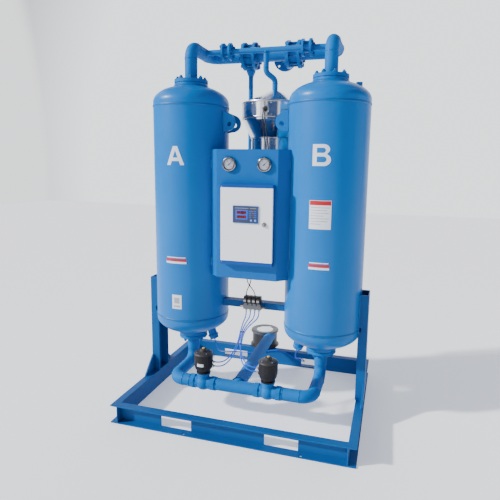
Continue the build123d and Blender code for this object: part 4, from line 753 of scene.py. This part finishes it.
for i, (bx, bz) in enumerate(((0.048, 1.2975), (0.074, 1.2975))):
    lathe("button_ring_%d" % i, (bx, YF, bz), (0, -1, 0), [(0.0098, -0.0002), (0.0098, 0.0010), (0.0088, 0.0016), (0.0070, 0.0014), (0.0068, -0.0002)],
          FILM_EDGE, "door", 40)
# lock: the rim round the key slot
lathe("lock_rim", (0.129, DOOR_Y, 1.273), (0, -1, 0), [(0.0155, -0.0003), (0.0155, 0.0010), (0.0140, 0.0018), (0.0125, 0.0016), (0.0125, -0.0003)], CHROME, "door", 48)

# ---------------------------------------------------------------- valve actuators
def actuator(tag, xv, side):
    R_ = 0.061

    def ribs(r, z, a):
        if 0.010 < z < 0.128 and r > 0.04:
            r = r - 0.0011 * max(0.0, math.cos(16 * a)) ** 6
        return r, z
    zs = [0.012, 0.015, 0.018, 0.022, 0.027, 0.032, 0.038, 0.044, 0.050, 0.058, 0.066, 0.080, 0.095, 0.110, 0.1235]

    def rad(z):
        pts = [(0.011, 0.036), (0.018, 0.045), (0.032, 0.054), (0.050, R_ - 0.002), (0.066, R_), (0.128, R_)]
        for (za, ra), (zb, rb) in zip(pts, pts[1:]):
            if za <= z <= zb:
                return ra + (rb - ra) * (z - za) / (zb - za)
        return R_
    prof = [(0.0, 0.0), (0.045, 0.0), (0.0462, 0.0015), (0.0462, 0.0068), (0.045, 0.008), (0.037, 0.0095), (0.0365, 0.011)] + [(rad(z), z) for z in zs]
    b = lathe("actuator_body_" + tag, (xv, LOW_Y, ACT_Z0), (0, 0, 1), prof + [(R_ - 0.0025, 0.1245), (R_ - 0.0025, 0.1260)], BLACK, "frame", 192, angle=38, wobble=ribs)
    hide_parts("valve_actuator_" + tag)
    lathe("actuator_cap_" + tag, (xv, LOW_Y, ACT_Z0), (0, 0, 1), [(R_ - 0.0025, 0.1255), (R_ - 0.0005, 0.1262), (R_ + 0.0002, 0.128), (R_ - 0.0005, 0.1325), (R_ - 0.004, 0.1372),
          (R_ - 0.012, 0.1408), (0.036, 0.1432), (0.030, 0.1455), (0.0255, 0.1460)], BLACK_TOP, "frame", 96)
    lathe("actuator_knob_" + tag, (xv, LOW_Y, ACT_Z0), (0, 0, 1), [(0.0255, 0.1455), (0.0235, 0.1475), (0.0225, 0.156), (0.0205, 0.1605), (0.0150, 0.1628), (0.0092, 0.1630), (0.0088, 0.150)],
          BLACK_TOP, "frame", 64)
    lathe("indicator_tip_" + tag, (xv, LOW_Y, ACT_Z0), (0, 0, 1), [(0.0081, 0.150), (0.0081, 0.1660), (0.0074, 0.1672), (0.0, 0.1676)], YELLOW, "stem_" + tag, 40)
    bm = bmesh.new()
    for k in range(4):
        a = math.radians(45 + 90 * k)
        cx, cy = xv + 0.0465 * math.cos(a), LOW_Y + 0.0465 * math.sin(a)
        add_lathe(bm, frame_of((cx, cy, ACT_Z0 + 0.1395), (0, 0, 1)), [(0.0042, 0), (0.0042, 0.0028), (0.0034, 0.0034), (0.0020, 0.0034), (0.0018, 0.0018), (0, 0.0018)], 20, closed=False)
    finish_mesh("actuator_screws_" + tag, bm, ZINC, "frame")
    for i, dz in enumerate((0.052, 0.080)):
        o = (xv + side * (R_ - 0.004), LOW_Y, ACT_Z0 + dz)
        lathe("port_boss_%s%d" % (tag, i), o, (side, 0, 0), [(0.0135, -0.006), (0.0135, 0.004), (0.0125, 0.006), (0.0105, 0.0065)], BLACK, "frame", 40)
        bm = bmesh.new()
        add_hex(bm, frame_of((xv + side * (R_ + 0.0022), LOW_Y, ACT_Z0 + dz), (side, 0, 0)), 0.017, 0.006)
        finish_mesh("port_hex_%s%d" % (tag, i), bm, ZINC, "frame", bevel=0.0007)
        lathe("port_collar_%s%d" % (tag, i), (xv + side * (R_ + 0.0080), LOW_Y, ACT_Z0 + dz), (side, 0, 0),
              [(0.0072, 0), (0.0078, 0.0012), (0.0078, 0.0045), (0.0068, 0.0062), (0.0042, 0.0064)], GREY_PL, "frame", 32)


actuator("a", VALVES["a"], 1)
actuator("b", VALVES["b"], -1)


def curved_plate(name, cx, cy, r, a_mid, width, z0, z1, t, mat, body="frame"):
    bm = bmesh.new()
    n = 16
    cols = []
    for i in range(n + 1):
        a = a_mid + (i / n - 0.5) * width / r
        col = []
        for rr in (r, r + t):
            for z in (z0, z1):
                col.append(bm.verts.new(Vector((cx + rr * math.sin(a), cy - rr * math.cos(a), z))))
        cols.append(col)
    for i in range(n):
        A, B = cols[i], cols[i + 1]
        for q in ((2, 3), (3, 1), (1, 0), (0, 2)):
            bm.faces.new((A[q[0]], B[q[0]], B[q[1]], A[q[1]]))
    bm.faces.new([cols[0][k] for k in (0, 1, 3, 2)])
    bm.faces.new([cols[-1][k] for k in (2, 3, 1, 0)])
    return finish_mesh(name, bm, mat, body)


curved_plate("actuator_label", VALVES["a"], LOW_Y, 0.0609, math.radians(2), 0.044, ACT_Z0 + 0.060, ACT_Z0 + 0.079, 0.0006, MARK)
curved_plate("actuator_label_rule1", VALVES["a"], LOW_Y, 0.0614, math.radians(2), 0.034, ACT_Z0 + 0.072, ACT_Z0 + 0.0740, 0.0003, MARK_GREY)
curved_plate("actuator_label_rule2", VALVES["a"], LOW_Y, 0.0614, math.radians(-2), 0.026, ACT_Z0 + 0.065, ACT_Z0 + 0.0670, 0.0003, MARK_GREY)

# ---------------------------------------------------------------- silencer
def silencer():
    segs = 144
    o = Vector((SIL_X, SIL_Y, 0))
    bm = bmesh.new()
    uvl = bm.loops.layers.uv.new("holes")
    for z0, z1, r in ((0.137, 0.239, SIL_R),):
        n = 6
        rings = [[bm.verts.new(o + Vector((r * math.cos(2 * math.pi * k / segs), r * math.sin(2 * math.pi * k / segs), z0 + (z1 - z0) * j / n))) for k in range(segs)] for j in range(n + 1)]
        for j in range(n):
            for k in range(segs):
                k2 = (k + 1) % segs
                f = bm.faces.new((rings[j][k], rings[j][k2], rings[j + 1][k2], rings[j + 1][k]))
                L = 2 * math.pi * r
                us = (k / segs * L, (k + 1) / segs * L)
                vs = ((z1 - z0) * j / n, (z1 - z0) * (j + 1) / n)
                c45 = math.sqrt(0.5)
                for loop, (u, v) in zip(f.loops, ((us[0], vs[0]), (us[1], vs[0]), (us[1], vs[1]), (us[0], vs[1]))):
                    loop[uvl].uv = ((u + v) * c45, (v - u) * c45)
    finish_mesh("silencer_drum", bm, PERF, "frame")
    lathe("silencer_base", (SIL_X, SIL_Y, 0), (0, 0, 1), [(0, 0.124), (0.118, 0.124), (0.120, 0.1255), (0.120, 0.1325), (0.1185, 0.134), (0.107, 0.135), (0.1055, 0.139), (0.1035, 0.1395)],
          BLACK_CAN, "frame", 96)
    ring = lathe("silencer_ring", (SIL_X, SIL_Y, 0), (0, 0, 1), [(0.1035, 0.2370), (0.1055, 0.2380), (0.1060, 0.2430), (0.1140, 0.2445), (0.1160, 0.2465), (0.1160, 0.2545), (0.1145, 0.2580),
          (0.108, 0.2618), (0.098, 0.2625), (0.075, 0.2605), (0.070, 0.2600), (0.068, 0.2570)], SIL_GREY, "frame", 120)
    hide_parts("exhaust_silencer")
    lathe("silencer_lid", (SIL_X, SIL_Y, 0), (0, 0, 1), [(0.069, 0.2565), (0.069, 0.2580), (0.060, 0.2592), (0.040, 0.2600), (0.0, 0.2604)], SIL_BRIGHT, "frame", 96)
    bm = bmesh.new()
    for k in range(6):
        a = math.radians(15 + 60 * k)
        add_hex(bm, frame_of((SIL_X + 0.092 * math.cos(a), SIL_Y + 0.092 * math.sin(a), 0.2615), (0, 0, 1)), 0.010, 0.004)
    finish_mesh("silencer_bolts", bm, ZINC, "frame", bevel=0.0005)


SIL_GREY = metal("silencer_grey", (0.16, 0.17, 0.19), 0.42, (1, 1, 1), 80.0)
SIL_BRIGHT = metal("silencer_bright", (0.82, 0.86, 0.90), 0.22, (1, 1, 1), 60.0)
silencer()

# ---------------------------------------------------------------- heater details
lathe("heater_gland_ring", (HX, HY - 0.225, 2.000), (0, -1, 0), [(0.0228, -0.002), (0.0228, 0.0150), (0.0215, 0.0168), (0.0165, 0.0170), (0.0160, 0.0150)],
      ZINC, "frame", 48)
lathe("heater_gland", (HX, HY - 0.225, 2.000), (0, -1, 0), [(0.0162, 0.0140), (0.0158, 0.0180), (0.0140, 0.0205), (0.0115, 0.0212), (0.0, 0.0212)],
      RUBBER, "frame", 48)
for i, (z, r) in enumerate(((2.0545, 0.2250), (1.9545, 0.2250), (1.823, 0.1612), (1.092, 0.1612), (1.45, 0.1612))):
    lathe("cladding_rim_%d" % i, (HX, HY, z), (0, 0, 1), [(r - 0.001, -0.0065), (r + 0.0018, -0.0055), (r + 0.0030, 0.0), (r + 0.0018, 0.0055), (r - 0.001, 0.0065)], CLAD_SEAM, "frame", 160)
bm = bmesh.new()
for k in range(20):
    a = 2 * math.pi * (k + 0.5) / 20
    for z, r in ((2.040, 0.2250), (1.968, 0.2250), (1.806, 0.1610), (1.110, 0.1610)):
        add_lathe(bm, frame_of((HX + r * math.cos(a), HY + r * math.sin(a), z), (math.cos(a), math.sin(a), 0)), [(0.0042, -0.0005), (0.0040, 0.0010), (0.0026, 0.0020), (0.0, 0.0023)], 12, closed=False)
finish_mesh("cladding_rivets", bm, ZINC, "frame")
# lap seams of the cladding sheets
for i, (z0, z1, r, adeg) in enumerate(((1.962, 2.046, 0.2250, 205), (1.10, 1.81, 0.1610, 215), (1.962, 2.046, 0.2250, 60), (1.10, 1.81, 0.1610, 70))):
    bm = bmesh.new()
    a0 = math.radians(adeg)
    cols = []
    for j in range(7):
        a = a0 + (j / 6 - 0.5) * 0.024 / r
        cols.append([bm.verts.new(Vector((HX + rr * math.cos(a), HY + rr * math.sin(a), z))) for rr in (r - 0.0005, r + 0.0012) for z in (z0, z1)])
    for j in range(6):
        A, B = cols[j], cols[j + 1]
        for q in ((2, 3), (3, 1), (1, 0), (0, 2)):
            bm.faces.new((A[q[0]], B[q[0]], B[q[1]], A[q[1]]))
    bm.faces.new([cols[0][k] for k in (0, 1, 3, 2)])
    bm.faces.new([cols[-1][k] for k in (2, 3, 1, 0)])
    finish_mesh("cladding_lap_%d" % i, bm, CLAD, "frame")

# ---------------------------------------------------------------- pilot valves
def pilots():
    SY = Y0 + 0.525
    bm = bmesh.new()
    add_box(bm, -0.060, 0.074, Y0 + 0.552, Y0 + 0.5602, 0.668, 0.709)
    finish_mesh("pilot_bracket", bm, BLUE, "frame", bevel=0.0008)
    bm = bmesh.new()
    add_box(bm, -0.056, 0.070, Y0 + 0.508, Y0 + 0.552, 0.672, 0.7005)
    rail = finish_mesh("pilot_manifold", bm, ALU, "frame", bevel=0.0012)
    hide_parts("solenoid_bank")
    for i, x in enumerate((-0.038, -0.008, 0.022, 0.052)):
        bm = bmesh.new()
        add_box(bm, x - 0.012, x + 0.012, SY - 0.016, SY + 0.016, 0.700, 0.7125)
        finish_mesh("pilot_base_%d" % i, bm, ALU, "frame", bevel=0.0008)
        bm = bmesh.new()
        add_box(bm, x - 0.014, x + 0.014, SY - 0.018, SY + 0.020, 0.7125, 0.762)
        add_box(bm, x - 0.0148, x + 0.0148, SY - 0.016, SY + 0.018, 0.722, 0.752)
        finish_mesh("pilot_coil_%d" % i, bm, BLACK, "frame", bevel=0.0018)
        bm = bmesh.new()
        add_box(bm, x - 0.0105, x + 0.0105, SY - 0.036, SY - 0.0175, 0.720, 0.750)
        finish_mesh("pilot_plug_%d" % i, bm, BLACK_TOP, "frame", bevel=0.0028)
        bm = bmesh.new()
        add_hex(bm, frame_of((x, SY, 0.7615), (0, 0, 1)), 0.013, 0.0065)
        finish_mesh("pilot_nut_%d" % i, bm, ZINC, "frame", bevel=0.0006)
        lathe("pilot_fitting_%d" % i, (x, SY, 0.6722), (0, 0, -1), [(0.0090, 0), (0.0090, 0.0050), (0.0078, 0.0062), (0.0078, 0.0120), (0.0066, 0.0142), (0.0042, 0.0144)], ZINC, "frame", 32)
        tag_bm = bmesh.new()
        add_box(tag_bm, x - 0.009, x + 0.009, SY - 0.0364, SY - 0.0358, 0.729, 0.742)
        finish_mesh("pilot_tag_%d" % i, tag_bm, GREY_PL, "frame")
    # two small brass silencers at the ends of the block
    lathe("pilot_silencer_0", (0.0705, Y0 + 0.524, 0.686), (1, 0, 0), [(0.007, -0.001), (0.007, 0.004), (0.0055, 0.005), (0.0055, 0.018), (0.004, 0.021), (0, 0.022)], BRASS, "frame", 24)
    lathe("pilot_silencer_1", (-0.0565, Y0 + 0.524, 0.686), (-1, 0, 0), [(0.007, -0.001), (0.007, 0.004), (0.0055, 0.005), (0.0055, 0.018), (0.004, 0.021), (0, 0.022)], BRASS, "frame", 24)


ALU = metal("cast_aluminium", (0.17, 0.175, 0.19), 0.42, (1, 1, 1), 150.0, 0.08, 0.2)
pilots()


# ---------------------------------------------------------------- tubes and leads
def spline(name, pts_mm, d_mm, mat, body, node_name, replace=True):
    cu = bpy.data.curves.new(name, "CURVE")
    cu.dimensions = "3D"
    cu.bevel_depth = d_mm / 2000.0
    cu.bevel_resolution = 5
    cu.resolution_u = 12
    cu.use_fill_caps = True
    sp = cu.splines.new("NURBS")
    sp.points.add(len(pts_mm) - 1)
    for i, q in enumerate(pts_mm):
        sp.points[i].co = (q[0] / 1000.0, q[1] / 1000.0, q[2] / 1000.0, 1)
    sp.order_u = 3
    sp.use_endpoint_u = True
    ob = bpy.data.objects.new(name, cu)
    cu.materials.append(mat)
    bpy.context.scene.collection.objects.link(ob)
    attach(ob, body)
    if replace:
        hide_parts(node_name)
    return ob


# each tube's and lead's route, as points in millimetres
Ym = Y0 * 1000.0
TYm, LYm, SYm = TY * 1000.0, LOW_Y * 1000.0, Ym + 525
T1 = (-41.0, Ym + 452, 534)
T2 = (-46.0, Ym + 404, 462)
PORT_AX, PORT_BX = -250 + 61 + 14, 188 - 61 - 14
SOL_X = (-38.0, -8.0, 22.0, 52.0)
AZ = ACT_Z0 * 1000.0
spline("air_tube_a1", [(SOL_X[0], SYm, 658), (SOL_X[0], SYm, 622), (SOL_X[0] - 12, Ym + 494, 580), (T1[0] - 12.6, T1[1], T1[2]),
       (T2[0] - 12.6, T2[1], T2[2]), (-72, Ym + 356, 416), (-98, Ym + 312, 384), (-136, LYm, AZ + 80), (PORT_AX, LYm, AZ + 80)], 8.0, TUBE, "frame", "air_tubes_a")
spline("air_tube_a2", [(SOL_X[1], SYm, 658), (SOL_X[1], SYm, 620), (SOL_X[1] - 24, Ym + 492, 578), (T1[0] - 4.2, T1[1] - 1, T1[2]),
       (T2[0] - 4.2, T2[1] - 1, T2[2]), (-62, Ym + 350, 408), (-94, Ym + 302, 364), (-134, LYm, AZ + 52), (PORT_AX, LYm, AZ + 52)], 8.0, TUBE, "frame", "air_tubes_a")
spline("air_tube_b1", [(SOL_X[2], SYm, 658), (SOL_X[2], SYm, 616), (SOL_X[2] - 34, Ym + 492, 576), (T1[0] + 4.2, T1[1] + 1, T1[2]),
       (T2[0] + 4.2, T2[1] + 1, T2[2]), (-18, Ym + 362, 414), (20, Ym + 312, 388), (64, LYm, AZ + 80), (PORT_BX, LYm, AZ + 80)], 8.0, TUBE, "frame", "air_tubes_b")
spline("air_tube_b2", [(SOL_X[3], SYm, 658), (SOL_X[3], SYm, 615), (SOL_X[3] - 42, Ym + 494, 578), (T1[0] + 12.6, T1[1] + 2, T1[2]),
       (T2[0] + 12.6, T2[1] + 2, T2[2]), (-22, Ym + 352, 398), (16, Ym + 304, 364), (62, LYm, AZ + 52), (PORT_BX, LYm, AZ + 52)], 8.0, TUBE, "frame", "air_tubes_b")
RAIL_ROUTE = [(-306.6, 0, 401), (-291, 0, 354), (-289, 30, 298), (-297, 100, 258), (-316, 192, 216), (-340, 290, 172),
              (-360, 386, 126), (-364, 470, 92), (-330, 528, 77), (-262, 549, 71), (-180, 551, 77), (-98, 549, 96),
              (-22, 551, 118), (50, 549, 127), (112, 551, 110), (168, 549, 80), (222, 543, 64), (262, 506, 78),
              (282, 436, 112), (292, 350, 156), (298, 262, 202), (301, 176, 246), (299, 98, 280), (290, 34, 306),
              (291, 0, 354), (306.6, 0, 401)]
spline("rail_signal_tube", [(x, TYm + y, z) for x, y, z in RAIL_ROUTE], 8.0, TUBE, "frame", "rail_tube")
spline("coil_wire_1", [(-8, Ym + 437, 915), (-6, Ym + 439, 884), (6, Ym + 456, 852), (22, Ym + 480, 818), (28, Ym + 504, 788), (24, SYm - 3, 764)], 6.0, CABLE, "frame", "coil_wires")
spline("coil_wire_2", [(23, Ym + 437, 915), (20, Ym + 435, 884), (6, Ym + 446, 854), (-14, Ym + 470, 820), (-32, Ym + 502, 790), (-37, SYm - 3, 764)], 6.0, CABLE, "frame", "coil_wires")
GL = Ym + 860 - 225 - 16
spline("heater_lead_1", [(43, GL + 6, 2001), (43, GL - 30, 1984), (45, GL - 54, 1948), (54, GL - 72, 1902), (68, GL - 102, 1846), (86, Ym + 484, 1794), (100, Ym + 454, 1756), (106, Ym + 440, 1727)],
       6.0, CABLE, "frame", "heater_leads")
spline("heater_lead_2", [(53, GL + 6, 2001), (54, GL - 28, 1985), (59, GL - 50, 1950), (70, GL - 68, 1902), (85, GL - 100, 1846), (103, Ym + 486, 1794), (117, Ym + 456, 1756), (123, Ym + 442, 1727)],
       6.0, CABLE, "frame", "heater_leads")


def tie(name, centre, axis, w, h, width=0.0045, th=0.0014):
    """A cable tie round the tubes: a flat band and its square head."""
    mm = frame_of([c / 1000.0 for c in centre], axis, up=(1, 0, 0))
    bm = bmesh.new()
    n = 40
    rings = []
    for k in range(n):
        a = 2 * math.pi * k / n
        c, s = math.cos(a), math.sin(a)
        e = 0.62
        ux, uy = math.copysign(abs(c) ** e, c), math.copysign(abs(s) ** e, s)
        ring = []
        for dr, dz in ((0, -width / 2), (th, -width / 2), (th, width / 2), (0, width / 2)):
            ring.append(bm.verts.new(mm @ Vector(((w / 2 + dr) * ux, (h / 2 + dr) * uy, dz))))
        rings.append(ring)
    for k in range(n):
        A, B = rings[k], rings[(k + 1) % n]
        for j in range(4):
            bm.faces.new((A[j], A[(j + 1) % 4], B[(j + 1) % 4], B[j]))
    add_box(bm, -0.0035, 0.0035, -h / 2 - 0.0055, -h / 2, -0.0035, 0.0035, mat4=mm)
    return finish_mesh(name, bm, TIE, "frame", bevel=0.0003)


t_dir = Vector((T2[0] - T1[0], T2[1] - T1[1], T2[2] - T1[2]))
tie("tube_tie_1", (T1[0] - 1, T1[1], T1[2] - 4), t_dir, 0.0345, 0.0105)
tie("tube_tie_2", (T2[0], T2[1] - 1, T2[2] + 2), t_dir, 0.0345, 0.0105)


# ---------------------------------------------------------------- light and floor
world = bpy.data.worlds.new("studio")
bpy.context.scene.world = world
world.use_nodes = True
wn = world.node_tree
bg = wn.nodes["Background"]
wc = wn.nodes.new("ShaderNodeTexCoord")
ws = wn.nodes.new("ShaderNodeSeparateXYZ")
wn.links.new(wc.outputs["Generated"], ws.inputs[0])
wr = wn.nodes.new("ShaderNodeValToRGB")
wr.color_ramp.elements[0].position = 0.60
wr.color_ramp.elements[0].color = (0.045, 0.095, 0.25, 1)
wr.color_ramp.elements[1].position = 0.80
wr.color_ramp.elements[1].color = (1.75, 1.80, 1.85, 1)
wn.links.new(ws.outputs["Y"], wr.inputs["Fac"])
wx = wn.nodes.new("ShaderNodeValToRGB")
half = wn.nodes.new("ShaderNodeMath")
half.operation = "MULTIPLY_ADD"
half.inputs[1].default_value = 0.5
half.inputs[2].default_value = 0.5
wn.links.new(ws.outputs["X"], half.inputs[0])
wn.links.new(half.outputs[0], wx.inputs["Fac"])
els = wx.color_ramp.elements
els[0].position, els[0].color = 0.0, (0, 0, 0, 1)
els[1].position, els[1].color = 1.0, (0, 0, 0, 1)
for pos, val in ((0.09, 0.0), (0.12, 1.5), (0.17, 1.5), (0.20, 0.0), (0.345, 0.0), (0.365, 0.9), (0.40, 0.9), (0.42, 0.0), (0.70, 0.0), (0.73, 1.1), (0.77, 1.1), (0.80, 0.0)):
    e = els.new(pos)
    e.color = (val, val * 1.02, val * 1.05, 1)
wm = wn.nodes.new("ShaderNodeMix")
wm.data_type = "RGBA"
wm.blend_type = "LIGHTEN"
wm.inputs["Factor"].default_value = 1.0
wn.links.new(wr.outputs["Color"], wm.inputs[6])
wn.links.new(wx.outputs["Color"], wm.inputs[7])
wn.links.new(wm.outputs[2], bg.inputs["Color"])
bg.inputs["Strength"].default_value = 1.0


def area(name, loc, target, size, power, col=(1, 1, 1)):
    ld = bpy.data.lights.new(name, "AREA")
    ld.size = size
    ld.energy = power
    ld.color = col
    ob = bpy.data.objects.new(name, ld)
    bpy.context.scene.collection.objects.link(ob)
    ob.location = loc
    d = Vector(target) - Vector(loc)
    ob.rotation_euler = d.to_track_quat("-Z", "Y").to_euler()
    return ob


sun_data = bpy.data.lights.new("sun", "SUN")
sun_data.energy = 6.0
sun_data.angle = math.radians(3.0)
sun_data.color = (1.0, 0.98, 0.95)
sun = bpy.data.objects.new("sun", sun_data)
bpy.context.scene.collection.objects.link(sun)
sun_dir = Vector((0.79, 0.39, -0.48))
sun.rotation_euler = sun_dir.to_track_quat("-Z", "Y").to_euler()
area("key", (-3.2, -4.0, 3.6), (0, 0, 1.2), 3.0, 30)
area("rim", (4.2, 0.6, 1.9), (0.5, 0, 1.2), 2.4, 24, (0.85, 0.93, 1.0))

bm = bmesh.new()
add_box(bm, -14, 14, -14, 14, -0.02, -0.0002)
me = bpy.data.meshes.new("floor")
bm.to_mesh(me)
bm.free()
fm, nt, p = new_mat("pale_floor")
v = coords(nt)
nt.links.new(mix_rgb(nt, noise_tex(nt, v, 1.5, 5), (0.86, 0.86, 0.86), (0.90, 0.90, 0.90)), p.inputs["Base Color"])
p.inputs["Roughness"].default_value = 0.75
p.inputs["Emission Color"].default_value = (0.97, 0.98, 1.0, 1)
p.inputs["Emission Strength"].default_value = 0.40
me.materials.append(fm)
floor = bpy.data.objects.new("floor", me)
bpy.context.scene.collection.objects.link(floor)
